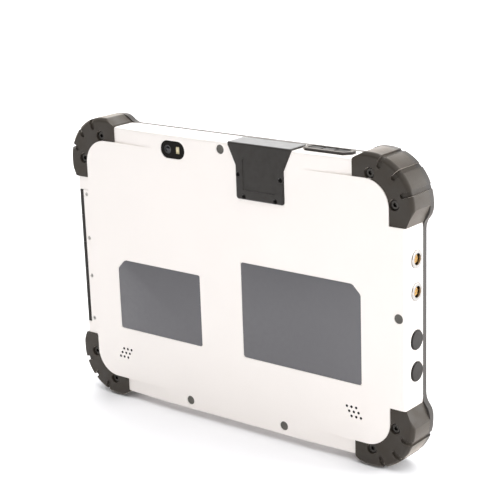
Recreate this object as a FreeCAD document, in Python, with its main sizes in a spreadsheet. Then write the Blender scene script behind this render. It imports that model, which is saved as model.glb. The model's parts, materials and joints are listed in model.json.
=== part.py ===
import FreeCAD, Part
import math
import os
import re
import Sketcher

# A rugged field data collector: a tablet with a white rear housing, a dark front frame and rubber corners.
# Millimetres. +Z is up the standing tablet, the screen looks along -Y and the back along +Y. "Left" is -X
# and "right" is +X, as the user sees them. Depth is counted forward from the back face, and "rise" up
# from mid-height, so sketches are drawn in (x, rise) on planes of constant depth.

DIMENSIONS = {
    # overall
    "mid_height": 97.0, "back_plane": 11.6, "half_width": 130.0, "half_height": 92.0,
    "shell_depth": 19.2, "total_depth": 24.4, "wall": 2.4, "edge_round": 1.6,
    # corners: bumper and frame flare
    "flare_half_width": 135.0, "flare_half_height": 97.0, "bumper_arc": 30.5, "bumper_back": 0.6,
    "bumper_chamfer": 2.0, "arm_x": 93.7, "arm_rise": 55.5, "arm_top_tip": 0.6, "arm_top_ramp": 7.5,
    "arm_side_tip": 0.4, "arm_side_ramp": 10.5,
    "flange_x": 119.0, "flange_rise": 82.0, "flange_arc": 16.5, "flange_floor": 5.0,
    "bumper_wall": 9.5, "groove_width": 3.2, "groove_depth": 1.2, "groove_start": 24.7, "groove_step": 26.5,
    "flare_run": 14.0, "flare_arc": 11.05, "frame_round": 1.4,
    # lower border of the rear shell
    "border_drop": 1.5, "ramp_start": 58.0, "shelf_clear": 0.5, "overcut": 5.0, "past": 1.0,
    "edge_overrun": 6.0,
    # screws
    "bumper_screw_x1": 105.7, "bumper_screw_rise1": 85.0, "bumper_screw_x2": 122.35,
    "bumper_screw_rise2": 68.3, "m3_head": 5.5, "m3_shank": 2.9, "m3_clear": 3.3, "m3_bore": 3.0,
    "m3_socket": 2.5, "counterbore": 6.9, "counterbore_floor": 3.6, "bumper_screw_tip": 12.0,
    "plug_size": 6.0, "plug_top": 0.15, "plug_floor": 2.0, "case_head_floor": 4.4, "case_screw_tip": 22.0,
    "boss_size": 8.8, "m2_head": 3.2, "m2_shank": 1.9, "m2_bore": 2.0, "m2_socket": 1.2, "fit_gap": 0.2,
    "socket_share": 0.5, "bumper_head_top": 1.9, "case_x1": -125.5, "case_rise1": 1.15, "case_x2": 3.5,
    "case_rise2": 87.2,
    "case_x3": 36.9, "case_x4": -40.2, "case_rise_low": -85.5, "board_head": 1.2, "board_screw_long": 4.5,
    # inside of the shell
    "cavity_x": 121.8, "cavity_rise": 89.4, "cavity_flange": 2.5, "arm_margin": 3.0,
    "gasket_width": 1.2, "gasket_depth": 1.0,
    # front
    "glass_half_width": 122.0, "glass_half_height": 86.0, "glass_corner": 8.0, "glass_depth": 22.9,
    "glass_thick": 1.2, "window_x": 119.5, "window_rise": 83.0, "rebate_gap": 0.2,
    "panel_x": 117.0, "panel_rise": 79.0, "panel_depth": 19.3, "panel_thick": 3.4,
    "panel_corner": 1.5, "bezel_corner": 5.5, "mid_x": 113.0, "mid_rise": 76.5, "mid_depth": 17.3,
    "mid_thick": 1.6, "mid_corner": 10.0, "mid_window_x": 40.0, "mid_window_rise": 26.0,
    "mid_window_corner": 6.0, "front_camera_depth": 20.5, "front_camera_long": 2.3,
    "front_camera_rise": 81.0, "front_camera_size": 3.4,
    # boards and battery
    "board_x": 57.0, "board_half_width": 54.0, "board_half_height": 75.0, "board_depth": 12.6,
    "board_thick": 1.2, "board_screw_inset": 4.0, "standoff": 5.0, "shield_tall": 2.2,
    "battery_x": -58.0, "battery_half_width": 51.0, "battery_rise": -8.0, "battery_half_height": 45.0,
    "battery_depth": 3.2, "battery_thick": 8.6, "corner_soft": 3.0,
    "gnss_x": -84.0, "gnss_rise": 60.0, "gnss_size": 25.0, "gnss_thick": 4.0, "gnss_lift": 0.6,
    "cpu_x": 34.0, "cpu_rise": 20.0, "cpu_wide": 34.0, "cpu_tall": 30.0, "radio_x": 30.0,
    "radio_rise": -34.0, "radio_wide": 26.0, "radio_tall": 22.0, "charger_x": 70.0,
    "charger_rise": -10.0, "charger_wide": 18.0, "charger_tall": 24.0,
    # rear camera
    "camera_x": 42.5, "camera_rise": 82.6, "camera_long": 19.7, "camera_wide": 11.4, "camera_recess": 1.3,
    "camera_glass": 1.1, "lens_x": 47.0, "lens_size": 6.0, "flash_x": 38.5, "flash_wide": 2.8,
    "flash_tall": 4.5, "camera_body": 9.0, "camera_slot_half": 7.4, "camera_slot_rise": 3.6,
    "lens_deep": 0.8, "flash_start": 0.4, "flash_deep": 1.6, "camera_deep": 4.5, "camera_neck": 5.4,
    # speakers
    "grille_x": 93.4, "grille_rise": -63.8, "grille_pitch": 3.38, "grille_row": 2.97, "grille_hole": 1.8,
    "grille_wall": 0.8, "mesh_size": 12.0, "mesh_thick": 0.4, "speaker_wide": 20.0,
    "speaker_tall": 14.0, "speaker_deep": 5.0, "speaker_rim": 1.2, "speaker_dish": 0.8,
    # label panels
    "label_recess": 0.4, "label_thick": 0.3, "label_cut": 6.0, "label_gap": 0.15,
    "small_x1": 24.7, "small_x2": 95.7, "small_low": -45.6, "small_high": 2.5,
    "large_x1": 9.7, "large_x2": 99.2, "large_low": -45.5, "large_high": 17.0,
    # scanner cover on the back and top
    "scanner_x": -27.0, "scanner_half_top": 24.0, "scanner_half_neck": 18.25, "scanner_neck": 79.0,
    "scanner_shoulder": 91.0, "scanner_low": 57.9, "scanner_proud": 1.2, "scanner_sunk": 1.0,
    "scanner_top": 93.2, "scanner_reach": 15.0, "scanner_corner": 2.0, "scanner_round": 1.2,
    "panel_line_x": 12.4, "panel_line_low": 64.0, "panel_line_high": 84.0, "panel_line_deep": 0.3,
    "cover_gap": 0.1, "cover_screw_x1": 16.15, "cover_screw_rise1": 73.4, "cover_screw_x2": 12.05,
    "cover_screw_rise2": 59.8, "cover_screw_head": 2.6, "cover_head_top": 0.9, "cover_head_floor": 0.1,
    "engine_wide": 26.0, "engine_deep": 11.0, "engine_rise": 74.0, "engine_half_tall": 8.0,
    "engine_lift": 2.5, "eye_rise": 82.5, "eye_half_wide": 6.0, "eye_half_tall": 2.5, "eye_lift": 6.0,
    "eye_deep": 5.0,
    "scan_window_x1": -48.3, "scan_window_x2": -3.7, "scan_window_start": 16.4, "scan_window_thick": 0.8,
    "scan_slot": 24.0, "scan_slot_width": 1.4,
    # key bar on the top edge
    "key_bar_x": -70.3, "key_bar_half": 17.6, "key_bar_y": -0.4, "key_bar_half_wide": 6.0,
    "key_bar_cut": 4.0, "key_bar_top": 1.5, "key_bar_sunk": 1.0, "key_well_half": 14.0,
    "key_well_half_wide": 3.4, "key_long": 8.8, "key_gap": 0.3, "key_sink": 0.4, "key_flange": 0.7,
    "key_round": 0.5, "key_corner": 1.2, "key_bar_round": 0.7, "key_well_corner": 1.5, "key_slot_gap": 0.6,
    # round sockets on the left edge
    "socket_depth": 12.2, "connector_upper": 35.0, "connector_lower": 15.3, "ring_size": 11.2,
    "ring_proud": 0.8, "barrel_size": 8.8, "barrel_end": 118.0, "connector_bore": 7.0,
    "ring_round": 0.4, "insert_face": 127.4, "insert_boss": 5.4, "insert_tip": 129.2, "insert_back": 2.1,
    "pin_size": 0.9, "pin_circle": 3.6, "pin_tip": 129.6, "pin_rooted": 2.4, "nut_size": 12.0,
    "nut_thick": 2.2,
    # round caps on the left edge
    "cap_upper": -14.2, "cap_lower": -33.9, "cap_size": 12.1, "cap_recess_size": 12.8, "cap_recess": 0.6,
    "cap_proud": 1.0, "cap_lip": 0.6, "cap_round": 0.7, "cap_stem": 8.0, "cap_stem_wall": 1.2,
    "cap_hollow": 1.6, "cap_bore": 8.8, "cap_stem_end": 126.4, "jack_face": 125.8, "jack_end": 112.0,
    "jack_bore": 5.6, "jack_deep": 6.0, "jack_pin": 2.0, "jack_pin_sunk": 0.4, "jack_pin_long": 8.0,
    # flap bay on the right edge
    "bay_floor": 127.2, "bay_start": 1.5, "bay_end": 17.8, "flap_skin": 2.4, "flap_gap": 0.2,
    "flap_bend": 2.2, "hinge_x": 127.3, "hinge_depth": 2.9, "hinge_bead": 1.1, "seat_gap": 0.9,
    "boss_deep": 1.4, "boss_inset": 0.3, "boss_corner": 0.8, "flap_short": 0.3, "seat_over": 1.5,
    "division_1": 46.5, "division_2": 28.2, "division_3": 9.4, "division_4": -9.4, "division_5": -28.2,
    "division_6": -47.5, "strip_inner": 119.6, "strip_outer": 125.4, "strip_top": 1.1, "strip_floor": 2.7,
    "strip_screw_x": 122.6, "strip_screw_1": 43.2, "strip_screw_2": 12.9, "strip_screw_3": -13.8,
    "strip_screw_4": -44.3, "strip_screw_head": 2.6, "strip_head_sunk": 0.1, "strip_head_tall": 0.8,
    "strip_screw_tip": 5.8, "strip_corner": 0.5, "strip_round": 0.3, "strip_slack": 0.1,
    "rail_x": 118.4, "rail_end": 17.0,
    # sockets behind the flaps
    "port_depth": 9.6, "port_inner": 109.0, "port_face": 126.0, "port_gap": 0.3, "port_corner": 1.2,
    "port_wall": 0.35, "port_mouth_corner": 0.9, "port_deep": 9.0, "tongue_long": 8.0,
}

TOLERANCE = 1e-4
NEAR = 0.01
FLAP_COUNT = 5
CORNERS = {"upper_right": (1, 1), "upper_left": (-1, 1), "lower_right": (1, -1), "lower_left": (-1, -1)}
GROOVE_STEPS = (-1, 0, 1)

doc = FreeCAD.newDocument("data_collector")
sheet = doc.addObject("Spreadsheet::Sheet", "dims")
for row, (alias, number) in enumerate(DIMENSIONS.items(), start=1):
    sheet.set(f"A{row}", alias)
    sheet.set(f"B{row}", str(number))
    sheet.setAlias(f"B{row}", alias)
doc.recompute()
pieces = []


# ---------------------------------------------------------------- drawing helpers

def cell_text(text):
    """Point every dimension named in the text at its cell of the sheet."""
    return re.sub(r"[a-z][a-z0-9_]*", lambda m: "dims." + m[0] if m[0] in DIMENSIONS else m[0], str(text))


def number(text):
    return float(sheet.evalExpression(cell_text(text)))


def bind(thing, prop, text):
    thing.setExpression(prop, cell_text(text))


def new_body(label):
    """One physical piece of the collector, exported under this label."""
    body = doc.addObject("PartDesign::Body", label)
    body.Label = label
    pieces.append(body)
    return body


def sketch_on(body, role, offsets):
    sketch = body.newObject("Sketcher::SketchObject", body.Label + "_sketch")
    plane = next(item for item in body.Origin.OriginFeatures if item.Role == role)
    sketch.AttachmentSupport = [(plane, "")]
    sketch.MapMode = "FlatFace"
    for letter, text in zip("xyz", offsets):
        bind(sketch, f"AttachmentOffset.Base.{letter}", text)
    return sketch


def depth_sketch(body, depth):
    """Draw in (x, rise), facing the screen side, at a depth below the back face."""
    return sketch_on(body, "XZ_Plane", ("0", "mid_height", f"{depth} - back_plane"))


def side_sketch(body, x):
    """Draw in (y, rise) at a station along X."""
    return sketch_on(body, "YZ_Plane", ("0", "mid_height", x))


def level_sketch(body, rise):
    """Draw in (x, y) at a rise above mid-height."""
    return sketch_on(body, "XY_Plane", ("0", "0", f"mid_height + {rise}"))


def pin_point(sketch, geometry, end, place):
    for kind, text in zip(("DistanceX", "DistanceY"), place):
        constraint = Sketcher.Constraint(kind, -1, 1, geometry, end, number(text))
        index = sketch.addConstraint(constraint)
        bind(sketch, f"Constraints[{index}]", text)


def draw_loop(sketch, stations):
    """Close a loop through stations (across, up) or (across, up, radius, turn). The stretch leaving a
    station is straight, or an arc of that radius whose centre lies to the left of travel for turn +1
    and to the right for turn -1."""
    count = len(stations)
    spots = [FreeCAD.Vector(number(s[0]), number(s[1]), 0) for s in stations]
    starts = []
    for index, station in enumerate(stations):
        here = spots[index]
        there = spots[(index + 1) % count]
        if len(station) == 2:
            edge = sketch.addGeometry(Part.LineSegment(here, there), False)
            starts.append((edge, 1, 2))
            continue
        radius = number(station[2])
        chord = there - here
        left = FreeCAD.Vector(-chord.y, chord.x, 0).normalize()
        sagitta = radius - math.sqrt(max(radius ** 2 - (chord.Length / 2) ** 2, 0))
        middle = (here + there) * 0.5 - left * sagitta * station[3]
        edge = sketch.addGeometry(Part.Arc(here, middle, there), False)
        tail, head = sketch.getPoint(edge, 1), sketch.getPoint(edge, 2)
        forward = tail.distanceToPoint(here) < head.distanceToPoint(here)
        starts.append((edge, 1, 2) if forward else (edge, 2, 1))
        index = sketch.addConstraint(Sketcher.Constraint("Radius", edge, radius))
        bind(sketch, f"Constraints[{index}]", station[2])
    for index, (edge, start, end) in enumerate(starts):
        following = starts[(index + 1) % count]
        sketch.addConstraint(Sketcher.Constraint("Coincident", edge, end, following[0], following[1]))
        pin_point(sketch, edge, start, stations[index])


def draw_circles(sketch, centres, size):
    for place in centres:
        centre = FreeCAD.Vector(number(place[0]), number(place[1]), 0)
        edge = sketch.addGeometry(Part.Circle(centre, FreeCAD.Vector(0, 0, 1), number(size) / 2), False)
        index = sketch.addConstraint(Sketcher.Constraint("Diameter", edge, number(size)))
        bind(sketch, f"Constraints[{index}]", size)
        pin_point(sketch, edge, 3, place)


def box_stations(low, high, corner=None):
    """A rectangle from its low and high corners, its corners square or rounded."""
    x1, y1 = low
    x2, y2 = high
    if corner is None:
        return [(x1, y1), (x2, y1), (x2, y2), (x1, y2)]
    corner = f"({corner})"
    return [(f"{x1} + {corner}", y1), (f"{x2} - {corner}", y1, corner, 1),
            (x2, f"{y1} + {corner}"), (x2, f"{y2} - {corner}", corner, 1),
            (f"{x2} - {corner}", y2), (f"{x1} + {corner}", y2, corner, 1),
            (x1, f"{y2} - {corner}"), (x1, f"{y1} + {corner}", corner, 1)]


def centred(half_across, half_up, corner=None, middle=("0", "0")):
    low = (f"{middle[0]} - ({half_across})", f"{middle[1]} - ({half_up})")
    high = (f"{middle[0]} + ({half_across})", f"{middle[1]} + ({half_up})")
    return box_stations(low, high, corner)


def mirrored(stations, side_x, side_up):
    """The same loop in another corner of the tablet."""
    turned = []
    for station in stations:
        place = (f"{side_x} * ({station[0]})", f"{side_up} * ({station[1]})")
        bend = (station[2], station[3] * side_x * side_up) if len(station) == 4 else ()
        turned.append(place + bend)
    return turned


def extrude(body, kind, sketch, length, reversed_way=False, both_ways=False):
    """Pad or pocket a sketch, and make sure that it added or cut something."""
    before = body.Shape.Volume if body.Tip else 0
    feature = body.newObject(f"PartDesign::{kind}", f"{body.Label}_{kind.lower()}")
    feature.Profile = sketch
    feature.Reversed = reversed_way
    if both_ways:
        feature.SideType = "Symmetric"
    bind(feature, "Length", length)
    body.Tip = feature
    doc.recompute()
    change = body.Shape.Volume - before
    grew = change > TOLERANCE
    shrank = change < -TOLERANCE
    if not (grew if kind == "Pad" else shrank):
        raise RuntimeError(f"{feature.Label} changed the volume by {change}: {feature.getStatusString()}")
    return feature


def pad_depth(body, depth, loops, length):
    """Add material from a depth towards the screen."""
    sketch = depth_sketch(body, depth)
    for loop in loops:
        draw_loop(sketch, loop)
    extrude(body, "Pad", sketch, length)


def cut_depth(body, depth, loops, length):
    """Cut from a depth towards the screen."""
    sketch = depth_sketch(body, depth)
    for loop in loops:
        draw_loop(sketch, loop)
    extrude(body, "Pocket", sketch, length, reversed_way=True)


def round_depth(body, kind, depth, centres, size, length):
    sketch = depth_sketch(body, depth)
    draw_circles(sketch, centres, size)
    extrude(body, kind, sketch, length, reversed_way=kind == "Pocket")


def round_side(body, kind, x, centres, size, length, way):
    """Discs or bores along X from a station, running towards +X for way +1 and -X for way -1."""
    sketch = side_sketch(body, x)
    draw_circles(sketch, centres, size)
    extrude(body, kind, sketch, length, reversed_way=(way < 0) == (kind == "Pad"))


def dress(body, kind, size, wanted):
    """Round or chamfer the edges of the body that the test picks out."""
    names = [f"Edge{i + 1}" for i, edge in enumerate(body.Shape.Edges) if wanted(edge)]
    if not names:
        raise RuntimeError(f"{body.Label} has no such edge")
    base = body.Tip
    feature = body.newObject(f"PartDesign::{kind}", f"{body.Label}_{kind.lower()}")
    feature.Base = (base, names)
    bind(feature, "Radius" if kind == "Fillet" else "Size", size)
    body.Tip = feature
    doc.recompute()
    if "Invalid" in feature.State:
        raise RuntimeError(f"{feature.Label}: {feature.getStatusString()}")
    return feature


def at_depth(edge, depth):
    """Whether an edge lies wholly at one depth."""
    y = number(f"back_plane - ({depth})")
    return all(abs(vertex.Y - y) < 1e-4 for vertex in edge.Vertexes)


def plate(label, depth, loops, thick):
    body = new_body(label)
    pad_depth(body, depth, loops, thick)
    return body


def block(label, x, rise, depth, size):
    """A plain rectangular piece: middle x and rise, nearest depth, and size (wide, tall, deep)."""
    box = doc.addObject("Part::Box", label)
    box.Label = label
    bind(box, "Length", size[0])
    bind(box, "Width", size[2])
    bind(box, "Height", size[1])
    bind(box, "Placement.Base.x", f"{x} - ({size[0]}) / 2")
    bind(box, "Placement.Base.y", f"back_plane - ({depth}) - ({size[2]})")
    bind(box, "Placement.Base.z", f"mid_height + {rise} - ({size[1]}) / 2")
    return box


def joined(label, members):
    """Several separate solids that share one node."""
    fuse = doc.addObject("Part::MultiFuse", label)
    fuse.Label = label
    fuse.Shapes = members
    pieces.append(fuse)
    return fuse


# ---------------------------------------------------------------- outlines

def bumper_outline():
    """The upper right bumper, seen from the back: an L round the corner with ramped ends."""
    return [("arm_x", "flange_rise"), ("arm_x", "half_height + arm_top_tip"),
            ("arm_x + arm_top_ramp", "flare_half_height"),
            ("flare_half_width - bumper_arc", "flare_half_height", "bumper_arc", -1),
            ("flare_half_width", "flare_half_height - bumper_arc"),
            ("flare_half_width", "arm_rise + arm_side_ramp"), ("half_width + arm_side_tip", "arm_rise"),
            ("flange_x", "arm_rise"), ("flange_x", "flange_rise - flange_arc", "flange_arc", 1),
            ("flange_x - flange_arc", "flange_rise")]


def corner_outside(x, rise, radius):
    """Everything beyond an inner corner, between the ends of a bumper's arms."""
    far = "flare_half_width + overcut"
    return [("arm_x", rise), ("arm_x", far), (far, far), (far, "arm_rise"), (x, "arm_rise"),
            (x, f"{rise} - ({radius})", radius, 1), (f"{x} - ({radius})", rise)]


def corner_inside(x, rise, radius):
    """Everything within an inner corner, as far as the ends of a bumper's arms and beyond."""
    near_x = "arm_x - overcut"
    near_rise = "arm_rise - overcut"
    return [(near_x, near_rise), (x, near_rise), (x, f"{rise} - ({radius})", radius, 1),
            (f"{x} - ({radius})", rise), (near_x, rise)]


def cavity_outline(grow="0"):
    """The inside of the shell: a wide cross that steps in behind the four bumpers."""
    quarter = [("cavity_x", "arm_rise - arm_margin"),
               ("flange_x - cavity_flange", "arm_rise - arm_margin"),
               ("flange_x - cavity_flange", "flange_rise - flange_arc",
                "flange_arc - cavity_flange", 1),
               ("flange_x - flange_arc", "flange_rise - cavity_flange"),
               ("arm_x - arm_margin", "flange_rise - cavity_flange"),
               ("arm_x - arm_margin", "cavity_rise")]
    quarter = [(f"{station[0]} + {grow}", f"{station[1]} + {grow}") + bend(station, grow)
               for station in quarter]
    loop = list(quarter)
    loop += backwards(mirrored(quarter, -1, 1))
    loop += mirrored(quarter, -1, -1)
    loop += backwards(mirrored(quarter, 1, -1))
    return loop


def bend(station, grow):
    """The arc of a station, its radius grown with the outline."""
    return (f"{station[2]} + {grow}", station[3]) if len(station) == 4 else ()


def backwards(stations):
    """The same run of stations travelled the other way, each arc handed to its other end."""
    places = [station[:2] for station in stations]
    turned = list(places)
    for index, station in enumerate(stations):
        if len(station) == 4:
            turned[index + 1] = places[index + 1] + (station[2], -station[3])
    return turned[::-1]


def frame_outline():
    """The front frame: straight edges that swell in an S to a flared corner behind each bumper."""
    half = "flare_run / 2"
    swell = "(flare_half_width - half_width) / 2"
    corner_x = "flare_half_width - bumper_arc"
    corner_rise = "flare_half_height - bumper_arc"
    top_end = f"{corner_x} - 2"
    side_end = f"{corner_rise} - 2"
    quarter = [("half_width", f"{side_end} - flare_run", "flare_arc", -1),
               (f"half_width + {swell}", f"{side_end} - {half}", "flare_arc", 1),
               ("flare_half_width", side_end), ("flare_half_width", corner_rise, "bumper_arc", 1),
               (corner_x, "flare_half_height"), (top_end, "flare_half_height", "flare_arc", 1),
               (f"{top_end} - {half}", f"half_height + {swell}", "flare_arc", -1),
               (f"{top_end} - flare_run", "half_height")]
    loop = list(quarter)
    loop += backwards(mirrored(quarter, -1, 1))
    loop += mirrored(quarter, -1, -1)
    loop += backwards(mirrored(quarter, 1, -1))
    return loop


def label_outline(name, side, grow):
    """A panel with one cut corner at its upper outer end."""
    low, high = f"{name}_low - {grow}", f"{name}_high + {grow}"
    near, far = f"{name}_x1 - {grow}", f"{name}_x2 + {grow}"
    loop = [(near, low), (far, low), (far, f"{high} - label_cut"), (f"{far} - label_cut", high),
            (near, high)]
    return mirrored(loop, side, 1)


def scanner_outline(grow="0"):
    """The scanner cover from the back: wide at the top edge, tapering to a narrower tongue."""
    right = [(f"scanner_half_neck - scanner_corner + {grow}", f"scanner_low - {grow}", "scanner_corner", 1),
             (f"scanner_half_neck + {grow}", f"scanner_low + scanner_corner - {grow}"),
             (f"scanner_half_neck + {grow}", "scanner_neck"),
             (f"scanner_half_top + {grow}", "scanner_shoulder"),
             (f"scanner_half_top + {grow}", "scanner_top")]
    loop = right + backwards(mirrored(right, -1, 1))
    return [(f"scanner_x + {s[0]}",) + tuple(s[1:]) for s in loop]


def case_screw_places():
    return [("case_x1", "case_rise1"), ("case_x2", "case_rise2"), ("case_x3", "case_rise_low"),
            ("case_x4", "case_rise_low")]


def bumper_screw_places():
    places = []
    for side_x, side_up in CORNERS.values():
        places += own_screw_places(side_x, side_up)
    return places


def own_screw_places(side_x, side_up):
    """The two screws of one bumper."""
    return [(f"{side_x} * bumper_screw_x{index}", f"{side_up} * bumper_screw_rise{index}")
            for index in (1, 2)]


def cover_screw_places():
    places = []
    for number_of in ("1", "2"):
        for side in (-1, 1):
            x = f"scanner_x + {side} * cover_screw_x{number_of}"
            places.append((x, f"cover_screw_rise{number_of}"))
    return places


def strip_screw_places():
    return [("strip_screw_x", f"strip_screw_{index}") for index in range(1, 5)]


def board_screw_places():
    places = []
    for across in (-1, 1):
        for up in (-1, 0, 1):
            x = f"board_x + {across} * (board_half_width - board_screw_inset)"
            places.append((x, f"{up} * (board_half_height - board_screw_inset)"))
    return places


def grille_places(side):
    """Nine holes in three rows, each row shifted half a pitch towards the middle of the tablet."""
    places = []
    for row in (-1, 0, 1):
        for column in (-1, 0, 1):
            x = f"{side} * (grille_x + {column} * grille_pitch - {row} * grille_pitch / 2)"
            places.append((x, f"grille_rise + {row} * grille_row"))
    return places


# ---------------------------------------------------------------- housing

def cut_grooves(body, side_x, side_up, back, end):
    """Three grooves across a rubber corner, round-ended on its back, over its whole outer face."""
    deep = "groove_depth"
    for step in GROOVE_STEPS:
        turn = math.radians(45 + step * number("groove_step"))
        heading = math.degrees(math.atan2(side_up * math.sin(turn), side_x * math.cos(turn)))
        x = f"{side_x} * (flare_half_width - bumper_arc)"
        rise = f"mid_height + {side_up} * (flare_half_height - bumper_arc)"
        sketch = sketch_on(body, "XY_Plane", (x, "0", rise))
        spin = FreeCAD.Rotation(FreeCAD.Vector(0, 1, 0), -heading)
        sketch.AttachmentOffset = FreeCAD.Placement(sketch.AttachmentOffset.Base, spin)
        far = "bumper_arc + overcut"
        outer = f"bumper_arc - {deep}"
        lip = f"back_plane - {back}"
        floor = f"back_plane - {end} - past"
        if back == "bumper_back":
            slope = "bumper_chamfer"
            profile = [("groove_start", f"{lip} + past"), ("groove_start", f"{lip} - {deep}"),
                       (f"{outer} - {slope}", f"{lip} - {deep}"), (outer, f"{lip} - {deep} - {slope}"),
                       (outer, floor), (far, floor), (far, f"{lip} + past")]
        else:
            profile = [(outer, f"{lip} + past"), (outer, floor), (far, floor), (far, f"{lip} + past")]
        draw_loop(sketch, profile)
        extrude(body, "Pocket", sketch, "groove_width", both_ways=True)
        if back == "bumper_back":
            x = f"{side_x} * (flare_half_width - bumper_arc) + groove_start * cos({heading})"
            rise = f"{side_up} * (flare_half_height - bumper_arc) + groove_start * sin({heading})"
            round_depth(body, "Pocket", f"{back} - past", [(x, rise)], "groove_width", f"{deep} + past")


def make_bumper(name, side_x, side_up):
    body = new_body(f"bumper_{name}")
    outline = mirrored(bumper_outline(), side_x, side_up)
    pad_depth(body, "bumper_back", [outline], "shell_depth - bumper_back")
    wall_x = "flare_half_width - bumper_wall"
    wall_rise = "flare_half_height - bumper_wall"
    inside = mirrored(corner_inside(wall_x, wall_rise, "bumper_arc - bumper_wall"), side_x, side_up)
    cut_depth(body, "flange_floor", [inside], "shell_depth")
    flare_x = number("flare_half_width")
    flare_rise = number("flare_half_height")

    def on_flare(vertex):
        at_side = abs(abs(vertex.X) - flare_x) < NEAR
        return at_side or abs(abs(vertex.Z - number("mid_height")) - flare_rise) < NEAR

    def outer_back_edge(edge):
        return at_depth(edge, "bumper_back") and all(on_flare(vertex) for vertex in edge.Vertexes)

    dress(body, "Chamfer", "bumper_chamfer", outer_back_edge)
    cut_grooves(body, side_x, side_up, "bumper_back", "shell_depth")
    screws = own_screw_places(side_x, side_up)
    deep = "counterbore_floor - bumper_back + past"
    round_depth(body, "Pocket", "bumper_back - past", screws, "counterbore", deep)
    round_depth(body, "Pocket", "0", screws, "m3_clear", "flange_floor + past")


def make_rear_shell():
    body = new_body("rear_shell")
    pad_depth(body, "0", [centred("half_width", "half_height")], "shell_depth")
    cut_border(body)
    shelf = number("back_plane - border_drop") - NEAR
    half_x = number("half_width")
    half_rise = number("half_height")

    def rim(edge):
        middle = edge.CenterOfMass
        at_side = abs(abs(middle.x) - half_x) < NEAR
        at_top = abs(abs(middle.z - number("mid_height")) - half_rise) < NEAR
        return (at_side or at_top) and all(vertex.Y > shelf for vertex in edge.Vertexes)

    dress(body, "Fillet", "edge_round", rim)
    for side_x, side_up in CORNERS.values():
        flange = corner_outside("flange_x", "flange_rise", "flange_arc")
        cut_depth(body, "-past", [mirrored(flange, side_x, side_up)], "flange_floor + past")
        wall = corner_outside("flare_half_width - bumper_wall", "flare_half_height - bumper_wall",
                              "bumper_arc - bumper_wall")
        cut_depth(body, "-past", [mirrored(wall, side_x, side_up)], "shell_depth + 2 * past")
    cut_depth(body, "wall", [cavity_outline()], "shell_depth")
    gasket_seat = cavity_outline("gasket_width")
    cut_depth(body, "shell_depth - gasket_depth", [gasket_seat], "gasket_depth + past")
    rail = box_stations(("rail_x", "division_6"), ("cavity_x + past", "division_1"))
    pad_depth(body, "wall", [rail], "rail_end - wall")
    round_depth(body, "Pad", "wall", case_screw_places(), "boss_size",
                "shell_depth - gasket_depth - wall")
    round_depth(body, "Pocket", "-past", case_screw_places(), "plug_size", "case_head_floor + past")
    round_depth(body, "Pocket", "0", case_screw_places(), "m3_clear", "shell_depth + past")
    round_depth(body, "Pocket", "0", bumper_screw_places(), "m3_bore", "bumper_screw_tip + fit_gap")
    cut_back_features(body)
    cut_top_features(body)
    cut_left_features(body)
    cut_right_features(body)


def cut_border(body):
    """The border falls from the raised field to a lower shelf at each corner and along the right edge."""
    shelf = "back_plane - border_drop"
    for side_x, side_up in CORNERS.values():
        start = f"{side_up} * flange_rise" if side_up > 0 else "-half_height - past"
        sketch = level_sketch(body, start)
        far = "half_width + edge_overrun"
        ramp = [("ramp_start", "back_plane"), ("arm_x", shelf), (far, shelf),
                (far, "back_plane + overcut"), ("ramp_start", "back_plane + overcut")]
        draw_loop(sketch, [(f"{side_x} * ({x})", y) for x, y in ramp])
        extrude(body, "Pocket", sketch, "half_height + past - flange_rise", reversed_way=True)
    low = ("flange_x + shelf_clear", "-flange_rise")
    edge = box_stations(low, ("half_width + edge_overrun", "flange_rise"))
    cut_depth(body, "-past", [edge], "border_drop + past")


def cut_back_features(body):
    panels = [label_outline("small", 1, "label_gap"), label_outline("large", -1, "label_gap")]
    cut_depth(body, "-past", panels, "label_recess + past")
    place = ("camera_x", "camera_rise")
    seat = centred("camera_long / 2 + cover_gap", "camera_wide / 2 + cover_gap", "camera_wide / 2", place)
    cut_depth(body, "-past", [seat], "camera_recess + past")
    slot = centred("camera_slot_half", "camera_slot_rise", None, place)
    cut_depth(body, "0", [slot], "wall + past")
    for side in (-1, 1):
        round_depth(body, "Pocket", "-past", grille_places(side), "grille_hole", "wall + 2 * past")
        half = "mesh_size / 2 + cover_gap"
        pocket = centred(half, half, "past", (f"{side} * grille_x", "grille_rise"))
        cut_depth(body, "grille_wall", [pocket], "wall")
    cut_depth(body, "-past", [scanner_outline("cover_gap")], "scanner_sunk + past")
    round_depth(body, "Pocket", "0", cover_screw_places(), "m2_bore", "wall + past")


def cut_top_features(body):
    """Seats for the cover's top, the scan window and the key bar, in the top edge."""
    low = ("scanner_x - scanner_half_top - cover_gap", "scanner_shoulder")
    high = ("scanner_x + scanner_half_top + cover_gap", "half_height + overcut")
    cut_depth(body, "-past", [box_stations(low, high)], "scanner_reach + past + cover_gap")
    low = ("scan_window_x1 - cover_gap", "half_height - scan_window_thick - fit_gap")
    high = ("scan_window_x2 + cover_gap", "half_height + overcut")
    cut_depth(body, "scan_window_start - cover_gap", [box_stations(low, high)], "shell_depth")
    low = ("scanner_x - scan_slot / 2", "cavity_rise - past")
    high = ("scanner_x + scan_slot / 2", "half_height + overcut")
    cut_depth(body, "scan_window_start + port_gap", [box_stations(low, high)], "scan_slot_width")
    sketch = level_sketch(body, "half_height - key_bar_sunk")
    draw_loop(sketch, key_bar_outline("cover_gap"))
    extrude(body, "Pocket", sketch, "key_bar_sunk + overcut", reversed_way=True)
    sketch = level_sketch(body, "cavity_rise - past")
    half, wide = "key_well_half + key_slot_gap", "key_well_half_wide + key_slot_gap"
    draw_loop(sketch, centred(half, wide, None, ("key_bar_x", "key_bar_y")))
    extrude(body, "Pocket", sketch, "half_height", reversed_way=True)


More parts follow.
